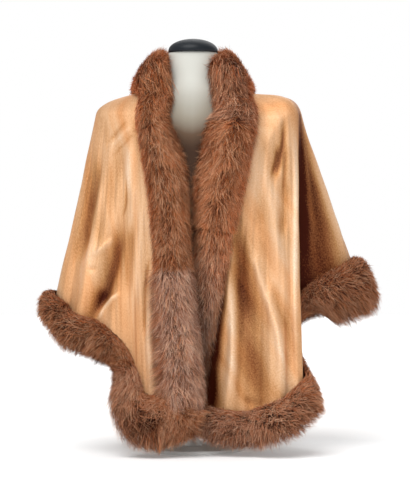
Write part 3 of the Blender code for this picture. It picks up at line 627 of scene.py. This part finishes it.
def clothPaint():
    paint = Paint("tan satin-faced cloth", {"Metallic": 0.35, "Specular IOR Level": 0.1})
    across, down = paint.uv("cloth")
    # The attribute read here is painted shade and painted highlight along the creases.
    shade = cut["even"] + cut["creaseShading"] * paint.attribute("tone")
    grains = {}
    for name in ("streaks", "clouds", "fine"):
        wide, high, detail, share = cut[name]
        grains[name] = paint.grain(across * wide, down * high, detail)
        shade = shade + share * (grains[name] - 0.5)
    colour = paint.node("ShaderNodeValToRGB", {"stops": cut["stops"]}, {0: shade.clipped()})
    warmth = paint.grain(across * 22.0 + 7.0, down * 3.0, 2.0)
    colour = paint.tint((warmth * 2.6 - 1.1).clipped(), colour, cut["warm"])
    twill = 2 * math.pi / cut["thread"]
    weave = ((across + down) * twill).wave() * 0.5 + ((across - down) * twill).wave() * 0.5
    height = weave * 0.2 + grains["fine"] * 0.6 + grains["streaks"] * 2.0
    return paint.surface({"Base Color": colour, "Roughness": 0.34 + 0.16 * grains["fine"],
                          "Normal": paint.bump(height, 0.35, 0.0008)})


def makePanel(node, panel, material):
    columns, lines = panel["cells"]
    angle, down = np.meshgrid(np.linspace(*panel["angles"], columns + 1),
                              np.linspace(0, 1, lines + 1), indexing="ij")
    points = capePoints(angle, down)
    normals = normalsOf(capePoints, angle, down, 0.35, 0.006)
    lift, tone = creaseLift(points, normals, angle, down, node)
    points = points + normals * (lift + flutter(angle, down))[..., None]
    roundIt, downIt = np.gradient(points, axis=0), np.gradient(points, axis=1)
    normals = unit(np.cross(roundIt, downIt))
    half = cut["cloth"] / 2
    size = angle.size
    outer, inner = (points + normals * half).reshape(-1, 3), (points - normals * half).reshape(-1, 3)
    grid = np.arange(size).reshape(angle.shape)
    a, b, c, d = cells(grid)
    face = rowsOf(a, d, c, b)
    rim = np.concatenate([grid[:, 0], grid[-1, 1:], grid[-2::-1, -1], grid[0, -2:0:-1]])
    after = np.roll(rim, -1)
    edge = rowsOf(rim, rim + size, after + size, after)
    faces = np.vstack([face, face[:, ::-1] + size, edge])
    width = np.cumsum(np.linalg.norm(roundIt, axis=-1), axis=0)
    length = np.cumsum(np.linalg.norm(downIt, axis=-1), axis=1)
    uv = rowsOf(width, length) * mm
    piece = meshFrom(panel["name"], np.vstack([outer, inner]), faces, np.vstack([uv, uv]))
    # painted shade and painted highlight of the creases, for the paint
    addValues(piece, "tone", np.tile(tone.ravel(), 2))
    piece.data.materials.append(material)
    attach(piece, "root")
    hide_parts(node)
    cell = np.cross(points[1:, 1:] - points[:-1, :-1], points[:-1, 1:] - points[1:, :-1])
    panel["area"] = float(np.linalg.norm(cell, axis=-1).sum() / 2) * mm * mm
    return piece


cloth = clothPaint()
panels = {node: makePanel(node, panel, cloth) for node, panel in cut["panels"].items()}
print("cape panels made, square metres", {k: round(p["area"], 3) for k, p in cut["panels"].items()})


# Fur. A chain is a run of edge points 2 mm apart with the way the fur lies at each.

fur = {
    "step": 2,  # between places of a chain
    "soften": 14,  # over which the way the fur lies changes
    "leftBand": [  # down the edge, reach, thickness in front, thickness behind, lean, drop
        (0.00, 67, 34, 3, 0.05, 4), (0.10, 67, 34, 3, 0.00, 9), (0.30, 80, 36, 3, 0.00, 12),
        (0.50, 75, 36, 8, 0.00, 6), (0.72, 80, 36, 12, 0.05, 0), (0.88, 85, 36, 12, 0.15, 0),
        (1.00, 84, 36, 12, 0.15, 0),
    ],
    "rightBand": [
        (0.00, 84, 34, 3, 0.05, 6), (0.10, 95, 34, 3, 0.00, 9), (0.30, 97, 34, 3, 0.04, 10),
        (0.42, 88, 32, 4, -0.02, 8), (0.54, 75, 30, 6, -0.10, 6), (0.72, 76, 28, 8, -0.16, 4),
        (1.00, 76, 28, 10, -0.10, 0),
    ],
    "collar": [  # angle, then as above
        (30, 67, 34, 3, -0.05, 4), (42, 74, 36, 3, 0.10, 2), (60, 86, 40, 3, 0.40, 0),
        (90, 91, 44, 3, 0.56, 0), (120, 92, 44, 3, 0.64, 0), (150, 96, 42, 3, 0.60, 0),
        (180, 98, 42, 3, 0.56, 0), (210, 96, 42, 3, 0.60, 0), (240, 84, 42, 3, 0.80, 0),
        (270, 101, 44, 3, 0.60, 0), (296, 97, 40, 3, 0.40, 0), (314, 86, 36, 3, 0.08, 2),
        (324, 84, 34, 3, 0.00, 6),
    ],
    "hemBehind": 0.34,  # thickness behind the hem, as a share of that in front
    "corners": {"left": (0.32, 72, 66), "right": (0.10, 70, 30)},  # slope, length, reach at the end
    "cornerSteps": 30,
    "section": [  # round a section: share of the reach, share of the thickness
        (-0.15, 0.24), (-0.10, 0.58), (0.08, 0.90), (0.36, 1.00), (0.66, 0.88), (0.90, 0.55),
        (1.00, 0.12), (0.93, -0.50), (0.62, -1.00), (0.24, -0.90), (0.04, -0.55),
    ],
    "coreSize": 0.66, "coreStep": 6, "coreSides": 16,
    "closing": 62,  # over which the fur would close past the end of an edge
    "lowest": 4,  # hair tips stay this far above the floor
}
sectionLine = SmoothLine([(i, *row) for i, row in enumerate(fur["section"])])
sectionTurns = np.linspace(0, len(fur["section"]) - 1, 200)
sectionRun = lengthsAlong(sectionLine.at(sectionTurns))
sectionRun /= sectionRun[-1]


class Chain:
    def __init__(self, angle, down, edge, normal, section, side):
        length = lengthsAlong(edge)
        self.place = np.arange(0, length[-1], fur["step"])
        take = lambda values: np.stack([np.interp(self.place, length, v) for v in np.asarray(values).T], -1)
        self.edge, normal, section = take(edge), unit(take(normal)), take(section)
        self.angle, self.down = np.interp(self.place, length, angle), np.interp(self.place, length, down)
        reach = max(1, round(fur["soften"] / fur["step"]))
        last = len(self.place) - 1
        index = np.arange(last + 1)
        run = unit(self.edge[np.minimum(index + reach, last)] - self.edge[np.maximum(index - reach, 0)])
        out = self.softened(unit(side * np.cross(run, normal)), reach)
        normal = self.softened(normal, reach)
        off = unit(normal - out * (normal * out).sum(-1, keepdims=True))
        self.values = np.hstack([self.edge, out, off, section])

    def softened(self, vectors, reach):
        weights = np.exp(-((np.arange(-3 * reach, 3 * reach + 1) / reach) ** 2) / 2)
        padded = np.pad(vectors, ((3 * reach, 3 * reach), (0, 0)), mode="edge")
        return unit(np.stack([np.convolve(v, weights, mode="valid") for v in padded.T], -1))

    def at(self, place):
        return [np.interp(place, self.place, v) for v in self.values.T]

    def points(self, strip, place, turn, grow):  # turn round the section, grow from its heart to its rim
        v = self.at(place)
        edge, out, off = (np.stack(v[i:i + 3], -1) for i in (0, 3, 6))
        reach, front, behind, lean, drop = v[9:]
        past = place - np.clip(place, 0, self.place[-1])
        tail = np.where((past > 0)[..., None], self.edge[-1] - self.edge[-8], self.edge[7] - self.edge[0])
        edge = edge + unit(tail) * past[..., None]
        grow = grow * np.sqrt(np.maximum(1 - (past / fur["closing"]) ** 2, 0.05))
        rim = sectionLine.at(np.interp(turn, sectionRun, sectionTurns))
        heart = strip["heart"]
        a = heart[0] + (rim[..., 0] - heart[0]) * grow
        b = heart[1] + (rim[..., 1] - heart[1]) * grow
        a = np.where(a < 0, a * strip["over"], a)
        lift = b * np.where(b > 0, front, behind) + lean * a * reach - drop * a * np.abs(a)
        return edge + out * (a * reach)[..., None] + off * lift[..., None]

    def placeOf(self, kind, value, first):  # by angle or down, in the first half of the chain or not
        gap = np.abs((self.angle if kind == "angle" else self.down) - value)
        half = len(gap) // 2
        part = slice(0, half) if first else slice(half, None)
        return float(self.place[part][np.argmin(gap[part])])


def hemSection(reach, thick):
    return np.stack([reach, thick, thick * fur["hemBehind"], 0 * reach, 0 * reach], -1)


def makeNeckChain():
    count = 400
    left, right = cape["leftEdge"], cape["rightEdge"]
    angle = np.concatenate([np.full(count, left), np.linspace(left, right, count), np.full(count, right)])
    down = np.concatenate([np.linspace(1, 0, count), np.zeros(count), np.linspace(0, 1, count)])
    bands = [SmoothLine(fur[name]) for name in ("leftBand", "collar", "rightBand")]
    section = np.vstack([bands[0].at(down[:count]), bands[1].at(angle[count:2 * count]),
                         bands[2].at(down[2 * count:])])
    normal = normalsOf(capePoints, angle, down, 2.0, 0.02)
    return Chain(angle, down, capePoints(angle, down), normal, section, 1)


def makeHemChain():
    angle = np.linspace(cape["leftEdge"], cape["rightEdge"], 1200)
    down = np.ones_like(angle)
    edge = capePoints(angle, down)
    normal = normalsOf(capePoints, angle, np.full_like(angle, 0.93), 2.0, 0.07)
    section = hemSection(*hemLine.columns(angle)[3:])
    ends, steps = [], fur["cornerSteps"]
    for name, at, sign in (("left", 0, 1), ("right", -1, -1)):
        slope, length, endReach = fur["corners"][name]
        direction = unit(np.array([sign, 0.0, -slope]))
        share = np.linspace(0, 1, steps, endpoint=False) if sign > 0 else np.linspace(1, 0, steps + 1)[1:]
        points = edge[at] + direction * (length * (1 - share))[:, None]
        reach = endReach + (section[at, 0] - endReach) * share**0.7
        ends.append((points, hemSection(reach, section[at, 1] * (0.7 + 0.3 * share))))
    facing = np.tile([0.0, -1.0, 0.0], (steps, 1))
    angle = np.concatenate([np.full(steps, angle[0]), angle, np.full(steps, angle[-1])])
    return Chain(angle, np.ones_like(angle), np.vstack([ends[0][0], edge, ends[1][0]]),
                 np.vstack([facing, normal, facing]), np.vstack([ends[0][1], section, ends[1][1]]), -1)


neckChain, hemChain = makeNeckChain(), makeHemChain()
print("edges measured, mm", round(neckChain.place[-1]), round(hemChain.place[-1]))

furTones = {  # root, shade, body, tip
    "red": ((0.060, 0.016, 0.007), (0.215, 0.064, 0.024), (0.50, 0.178, 0.066), (0.84, 0.44, 0.23)),
    "grey": ((0.070, 0.030, 0.019), (0.23, 0.105, 0.067), (0.47, 0.250, 0.170), (0.76, 0.54, 0.43)),
}
furLook = {
    "stops": (0.05, 0.30, 0.64, 1.0),  # where those tones lie along a hair
    "patch": 45,  # length of paler patches
    "glow": (1.0, 0.60, 0.34), "pale": (0.78, 0.50, 0.32),
    # colours of painted shade for hair in the shade bank, and of painted shadow along a strip
    "shade": (0.33, 0.25, 0.22), "paintedShadow": (0.16, 0.13, 0.12),
    "locks": 400,  # tones of hair along a strip
    "banks": 3,  # the same tones plain, in shade and with an orange glow
}


def furPaint(strip, length):
    paint = Paint(strip["name"] + " fur", {"Roughness": 0.6, "Specular IOR Level": 0.12})
    u, v = paint.uv("OFBake")
    banks = furLook["banks"]
    bank = (u * banks).whole()
    along = u * banks - bank
    lock = (u * (furLook["locks"] * banks)).whole() + strip["seed"] * 1000.0
    oneWay = {"noise_dimensions": "1D"}
    first = paint.node("ShaderNodeTexWhiteNoise", oneWay, {"W": lock})
    second = paint.node("ShaderNodeTexWhiteNoise", oneWay, {"W": lock + 0.37})
    where = along * (length / furLook["patch"]) + strip["seed"]
    broad = paint.node("ShaderNodeTexNoise", oneWay, {"W": where, "Scale": 1.0})
    depth = (v + 0.26 * (first - 0.5)).clipped()
    *names, (low, high) = strip["tones"]
    stops = [list(zip(furLook["stops"], furTones[name])) for name in names]
    ramps = [paint.node("ShaderNodeValToRGB", {"stops": tones}, {0: depth}) for tones in stops]
    change = ((along - low) * (1 / (high - low)) + 0.5 * (second - 0.5)).clipped()
    colour = paint.mix(change, *ramps)
    glowing = (bank - 1.0).clipped()
    colour = paint.tint((0.75 * glowing + second * 1.5 - 0.75).clipped(), colour, furLook["glow"])
    pale = paint.mix(0.55, colour, furLook["pale"])
    colour = paint.mix((v * (first * 2.4 - 1.1) + 0.6 * (broad - 0.5)).clipped(), colour, pale)
    colour = paint.tint(bank * (2.0 - bank), colour, furLook["shade"])
    # painted shadow, growing in along the strip
    low, high, dim = strip["paintedShadow"]
    return paint.surface({"Base Color": paint.tint(
        dim * ((along - low) * (1 / (high - low))).clipped(), colour, furLook["paintedShadow"])})


# A place on an edge is down or angle, its value, and whether it is in the first half of the edge.
# Shade and glow are a share of the hair, a place round the section, and a fade (- below the place).
# A whorl is its place, place round the section, size, push, and share of the hair in shade.
# A strip's painted shadow grows in along it from its first number to its second and darkens the hair by its
# third.
bandFur = {
    "chain": neckChain, "slot": "fur_red_brown", "heart": (0.42, 0.20), "over": 1.0, "lay": 20,
    "tones": ("red", "red", (0, 1)), "paintedShadow": (0.0, 1.0, 0.0), "whorls": [],
    "shade": [(0.5, 0.07, -0.05), (0.65, 0.47, 0.07)], "glow": (0.85, 0.20, -0.1), "lucky": (0.22, 0.62),
    "partingShade": (0.75, 0.245, 0.045),
}
hemFur = {
    "chain": hemChain, "slot": "fur_red_brown", "heart": (0.10, 0.12), "over": 1.0, "lay": 5,
    "tones": ("red", "grey", (-0.2, 3.8)), "paintedShadow": (-1.0, 0.0, 0.42), "whorls": [],
    "shade": [(0.45, 0.10, -0.08), (0.4, 0.36, 0.16)], "glow": (0.5, 0.25, -0.15), "lucky": (0.2, 0.6),
    "partingShade": (0, 0.5, 1),
}
furStrips = [
    {**bandFur, "name": "collarFur", "node": "fur_collar", "hairs": 40000, "seed": 11,
     "ends": (("down", 0.1, True), ("down", 0.1, False)),
     "heart": (0.34, 0.15), "lay": 16, "tones": ("red", "grey", (0.55, 1.4)),
     "whorls": [(("angle", 52, True), 0.27, 24, -6, 0.75), (("down", 0.1, False), 0.25, 22, 9, 0.1),
                (("angle", 300, False), 0.26, 15, -5, 0.6)]},
    {**bandFur, "name": "leftBandUpper", "node": "left_band_upper", "hairs": 22000, "seed": 12,
     "ends": (("down", 0.58, True), ("down", 0.1, True)), "paintedShadow": (-1.0, 0.0, 0.20),
     "whorls": [(("down", 0.1, True), 0.25, 20, 11, 0.2), (("down", 0.575, True), 0.27, 17, -9, 0.9)]},
    {**bandFur, "name": "leftBandLower", "node": "left_band_lower", "hairs": 21000, "seed": 13,
     "ends": (("down", 1.0, True), ("down", 0.58, True)), "over": 2.2, "slot": "fur_grey_brown",
     "lay": 24, "tones": ("grey", "grey", (0, 1)),
     "whorls": [(("down", 0.90, True), 0.36, 9, -5, 1.0), (("down", 0.60, True), 0.12, 12, 8, 0.1)]},
    {**bandFur, "name": "rightBandUpper", "node": "right_band_upper", "hairs": 22000, "seed": 14,
     "ends": (("down", 0.1, False), ("down", 0.44, False)),
     "whorls": [(("down", 0.386, False), 0.26, 18, 12, 0.0), (("down", 0.386, False), 0.26, 8, 0, 1.0),
                (("down", 0.2, False), 0.24, 16, -5, 0.45), (("down", 0.12, False), 0.25, 18, 7, 0.1)]},
    {**bandFur, "name": "rightBandLower", "node": "right_band_lower", "hairs": 21000, "seed": 15,
     "ends": (("down", 0.44, False), ("down", 1.0, False)), "slot": "fur_grey_brown",
     "lay": 24, "tones": ("red", "grey", (0.02, 0.42)), "paintedShadow": (0.25, 0.75, 0.95)},
    {**hemFur, "name": "leftFrontHem", "node": "left_front_hem_fur", "hairs": 20000, "seed": 21,
     "ends": (None, ("angle", 46, True)), "tones": ("red", "grey", (-0.5, 2.6)), "paintedShadow": (-1.0, 0.0, 0.24),
     "whorls": [(("angle", 34, True), 0.30, 26, 8, 0.35), (("angle", 34, True), 0.34, 10, 0, 0.7)]},
    {**hemFur, "name": "leftSleeveHem", "node": "left_sleeve_hem_fur", "hairs": 27000, "seed": 22,
     "ends": (("angle", 46, True), ("angle", 150, True))},
    {**hemFur, "name": "backHem", "node": "back_hem_fur", "hairs": 20000, "seed": 23,
     "ends": (("angle", 150, True), ("angle", 212, False))},
    {**hemFur, "name": "rightSleeveHem", "node": "right_sleeve_hem_fur", "hairs": 26000, "seed": 24,
     "ends": (("angle", 212, False), ("angle", 281.5, False))},
    {**hemFur, "name": "rightFrontHem", "node": "right_front_hem_fur", "hairs": 25000, "seed": 25,
     "ends": (("angle", 281.5, False), None), "tones": ("red", "grey", (0.1, 1.1)),
     "paintedShadow": (-1.0, 0.0, 0.24)},
]
hair = {
    "levels": (0.0, 0.5, 1.0),  # along a hair, from root to tip
    "widths": (1.25, 1.0, 0.0), "uneven": (0.75, 1.25),
    "rootDepth": (0.30, 0.66),  # where roots sit between the heart and the rim
    "tall": (0.88, 0.18, 0.20),  # least share of the way to the rim, and what tuft and chance add
    "stray": (0.05, 1.10),  # share of longer hairs, and how much longer they are
    "front": (0.68, 0.56),  # share of the hair on the front, and of the section that is front
    "girth": 190, "tuft": 8,  # usual length round a section, and size of a tuft
    "gather": 0.30,  # how far the tips of a tuft draw together
    "scatter": 9,  # chance in how far a tip lies along the edge from its root
    "spread": (0.06, 0.022),  # a tuft's and a hair's chance round the section
    "swing": 90,  # over which the hair of the collar turns from one way to the other, at the nape
    "wave": 60, "waveLay": 2.5,  # over which the hair of a hem sways, and how much
    "fan": 24, "fanLength": 18,  # the free end of the left front hem opens like a fan
    "sag": 2, "bend": 1.4, "rise": 1.3, "twist": 0.9,  # of the tip, then powers along the hair, radians
    "joint": 16, "tail": 52,  # how far hair reaches past a joint and past the end of an edge
    "along": (0.12, 0.88), "half": 0.22,  # in the map: root and length of a hair, half width in locks
}


def stripEnds(strip):
    chain = strip["chain"]
    limits = 0.0, float(chain.place[-1])
    return [limit if spot is None else chain.placeOf(*spot) for spot, limit in zip(strip["ends"], limits)]


def coreRings(strip, start, end):
    places = np.linspace(start, end, max(4, round((end - start) / fur["coreStep"])))
    place, turn = np.meshgrid(places, np.linspace(0, 1, fur["coreSides"]), indexing="ij")
    nearEnd = np.minimum(place - start, end - place)
    grow = fur["coreSize"] * (0.75 + 0.25 * smooth(nearEnd / 12))
    points = strip["chain"].points(strip, place, turn, grow)
    return clearOfForm(points, 1.0), (place - start) / (end - start)


def wayOfHair(strip, rng, place, luck):  # how far each tip lies along the edge from its root
    chain, count = strip["chain"], len(place)
    if chain is neckChain:
        nape = chain.placeOf("angle", 180, False)
        lay = strip["lay"] * np.clip((place - nape) / hair["swing"], -1, 1)
    else:
        knots = np.arange(0, chain.place[-1] + hair["wave"], hair["wave"])
        lay = strip["lay"] * hair["waveLay"] * np.interp(place, knots, rng.uniform(-1, 1, len(knots)))
        lay -= hair["fan"] * np.exp(-place / hair["fanLength"])
    return lay * (0.7 + 0.6 * luck[:, 2]) + rng.normal(0, hair["scatter"], count)


def whorlPush(strip, place, turn):
    pushPlace, pushTurn, dark = np.zeros((3, len(place)))
    for spot, middle, size, push, shade in strip["whorls"]:
        dx, dy = place - strip["chain"].placeOf(*spot), (turn - middle) * hair["girth"]
        near = np.exp(-(dx * dx + dy * dy) / (size * size))
        far = np.hypot(dx, dy) + 1
        pushPlace = pushPlace + push * near * dx / far
        pushTurn = pushTurn + push * near * dy / far / hair["girth"]
        dark = np.maximum(dark, shade * near)
    return pushPlace, pushTurn, dark


def growHair(strip, start, end):
    rng = np.random.default_rng(strip["seed"])
    count, chain, length = strip["hairs"], strip["chain"], end - start
    share = (rng.permutation(count) + rng.random(count)) / count
    place = start + length * share
    inFront, frontEnd = hair["front"]
    pick, turn = rng.random(count), rng.random(count)
    turn = np.where(pick < inFront, turn * frontEnd, frontEnd + turn * (1 - frontEnd))
    tuft = hair["tuft"]
    rows, columns = int(length / tuft) + 3, int(hair["girth"] / tuft) + 1
    skew = 0.5 * (np.floor(turn * columns) % 2)
    row = np.clip(np.floor((place - start) / tuft + skew), 0, rows - 1).astype(int)
    column = np.clip(np.floor(turn * columns), 0, columns - 1).astype(int)
    luck = rng.random((rows, columns, 5))[row, column]
    tuftPlace = start + (row - skew + 0.25 + 0.5 * luck[:, 0]) * tuft
    tuftTurn = (column + 0.25 + 0.5 * luck[:, 1]) / columns
    lay = wayOfHair(strip, rng, place, luck)
    least, tuftTall, ownTall = hair["tall"]
    tall = (least + tuftTall * luck[:, 3]) * (least + ownTall * rng.random(count))
    strays, longer = hair["stray"]
    tall = np.where(rng.random(count) < strays, tall * longer, tall)
    root = rng.uniform(*hair["rootDepth"], count)
    tuftSpread, ownSpread = hair["spread"]
    spread = tuftSpread * (luck[:, 4] - 0.5) + rng.normal(0, ownSpread, count)
    gather = hair["gather"] * (0.3 + 0.7 * rng.random(count))
    pushPlace, pushTurn, dark = whorlPush(strip, place, turn)
    before = hair["tail"] if start == 0 else hair["joint"]
    beyond = hair["tail"] if end == chain.place[-1] else hair["joint"]
    levels = []
    for t in hair["levels"]:
        late = t ** hair["bend"]
        nowPlace = place + (lay + pushPlace + (tuftPlace - place) * gather) * late
        nowTurn = np.clip(turn + (spread + pushTurn + (tuftTurn - turn) * gather) * late, 0, 1)
        grow = root + (tall - root) * (1 - (1 - t) ** hair["rise"])
        points = chain.points(strip, np.clip(nowPlace, start - before, end + beyond), nowTurn, grow)
        points[:, 2] -= hair["sag"] * late
        levels.append(points)
    points = np.stack(levels, 1)
    points[..., 2] = np.maximum(points[..., 2], fur["lowest"] + 2 * rng.random(count)[:, None])
    points = clearOfForm(points, 1.2)
    away = unit(points[:, 1] - chain.points(strip, place, turn, np.zeros(count)))
    flat = unit(np.cross(unit(points[:, 2] - points[:, 0]), away))
    twist = rng.uniform(-hair["twist"], hair["twist"], count)[:, None]
    flat = flat * np.cos(twist) + away * np.sin(twist)
    widths = np.array(hair["widths"]) / 2 * rng.uniform(*hair["uneven"], count)[:, None]
    sides = flat[:, None, :] * widths[..., None]
    corners = np.concatenate([points[:, :2] - sides[:, :2], points[:, :2] + sides[:, :2], points[:, 2:]], 1)
    lock = np.floor(np.clip(share + rng.normal(0, 0.012, count), 0, 0.9999) * furLook["locks"])
    uv = hairMap(pickBank(strip, rng, turn, luck, dark) * furLook["locks"] + lock + 0.5)
    base = np.arange(count)[:, None, None] * 5
    pattern = np.array([[0, 2, 3], [0, 3, 1], [1, 3, 4]])
    return corners.reshape(-1, 3), (base + pattern).reshape(-1, 3), uv.reshape(-1, 2)


def hairMap(lock):  # the five corners of each hair
    size = furLook["locks"] * furLook["banks"]
    root, length = hair["along"]
    u = (lock / size)[:, None] + hair["half"] / size * np.array([-1, -1, 1, 1, 0])
    v = root + length * np.array(hair["levels"])[[0, 1, 0, 1, 2]]
    return np.stack([u, np.broadcast_to(v, u.shape)], -1)


def pickBank(strip, rng, turn, luck, dark):  # which hair is in shade and which glows
    shade = np.maximum(dark, 0.03 + 0.12 * smooth((luck[:, 0] - 0.78) * 5))
    for share, place, fade in strip["shade"]:
        shade = np.maximum(shade, share * smooth((turn - place) / fade))
    # painted shade along the parting of the fur
    share, middle, width = strip["partingShade"]
    away = (turn - middle - 0.03 * (luck[:, 4] - 0.5)) / width
    shade = np.maximum(shade, share * np.exp(-(away**2)))
    share, place, fade = strip["glow"]
    extra, rare = strip["lucky"]
    glow = share * smooth((turn - place) / fade) + 0.12 + extra * smooth((luck[:, 1] - rare) * 4)
    chance = rng.random(len(turn))
    return np.where(chance < shade, 1, np.where(chance < shade + glow, 2, 0))


def makeStrip(strip):
    start, end = stripEnds(strip)
    rings, along = coreRings(strip, start, end)
    core = triangles(np.arange(along.size).reshape(along.shape))
    coreUv = rowsOf(along * 0.999, np.broadcast_to(np.linspace(0.04, 0.12, along.shape[1]), along.shape))
    points, faces, uv = growHair(strip, start, end)
    piece = meshFrom(strip["name"], np.vstack([rings.reshape(-1, 3), points]),
                     np.vstack([core, faces + along.size]), np.vstack([coreUv, uv]), "OFBake")
    piece.data.materials.append(furPaint(strip, end - start))
    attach(piece, "root")
    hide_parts(strip["node"])
    print("fur", strip["name"], round(end - start), "mm,", len(faces) + len(core), "triangles")
    return piece


strips = {strip["node"]: makeStrip(strip) for strip in furStrips}


# Floor, world and lights

room = {
    "floor": 14, "floorColour": (0.98, 0.98, 0.98), "dusty": 0.985, "floorGlow": 0.10,
    "seen": 1.0, "ambient": 0.48,  # strength of the world to the camera, and as light
    "sun": {"strength": 2.5, "height": 50, "side": -22, "spread": 50},  # angles in degrees
    "back": {"strength": 0.9, "height": 38, "side": 160, "spread": 60},
}


def makeSun(name, lamp):
    data = bpy.data.lights.new(name, "SUN")
    data.energy, data.angle = lamp["strength"], math.radians(lamp["spread"])
    sun = addObject(name, data)
    sun.rotation_euler = (math.radians(90 - lamp["height"]), 0, math.radians(lamp["side"]))


def makeRoom():
    half = room["floor"] / 2 / mm
    corners = np.array([(-half, -half, 0), (half, -half, 0), (half, half, 0), (-half, half, 0)])
    floor = meshFrom("floor", corners, [(0, 1, 2, 3)])
    paint = Paint("pale floor", {"Roughness": 0.9, "Specular IOR Level": 0.2,
                                 "Emission Color": (1, 1, 1, 1), "Emission Strength": room["floorGlow"]})
    dust = paint.noise(paint.objectPlace(), 3.0)
    dusty = tuple(room["dusty"] * c for c in room["floorColour"])
    floor.data.materials.append(paint.surface({"Base Color": paint.mix(dust, room["floorColour"], dusty)}))
    world = bpy.data.worlds.new("studio")
    world.use_nodes = True
    tree = world.node_tree
    background = tree.nodes["Background"]
    background.inputs["Color"].default_value = (1, 1, 1, 1)
    path = tree.nodes.new("ShaderNodeLightPath")
    strength = tree.nodes.new("ShaderNodeMapRange")
    strength.inputs["To Min"].default_value = room["ambient"]
    strength.inputs["To Max"].default_value = room["seen"]
    tree.links.new(path.outputs["Is Camera Ray"], strength.inputs["Value"])
    tree.links.new(strength.outputs["Result"], background.inputs["Strength"])
    bpy.context.scene.world = world
    makeSun("key", room["sun"])
    makeSun("rim", room["back"])


makeRoom()
bpy.context.scene.view_settings.view_transform = "Standard"
print("floor and lights made")
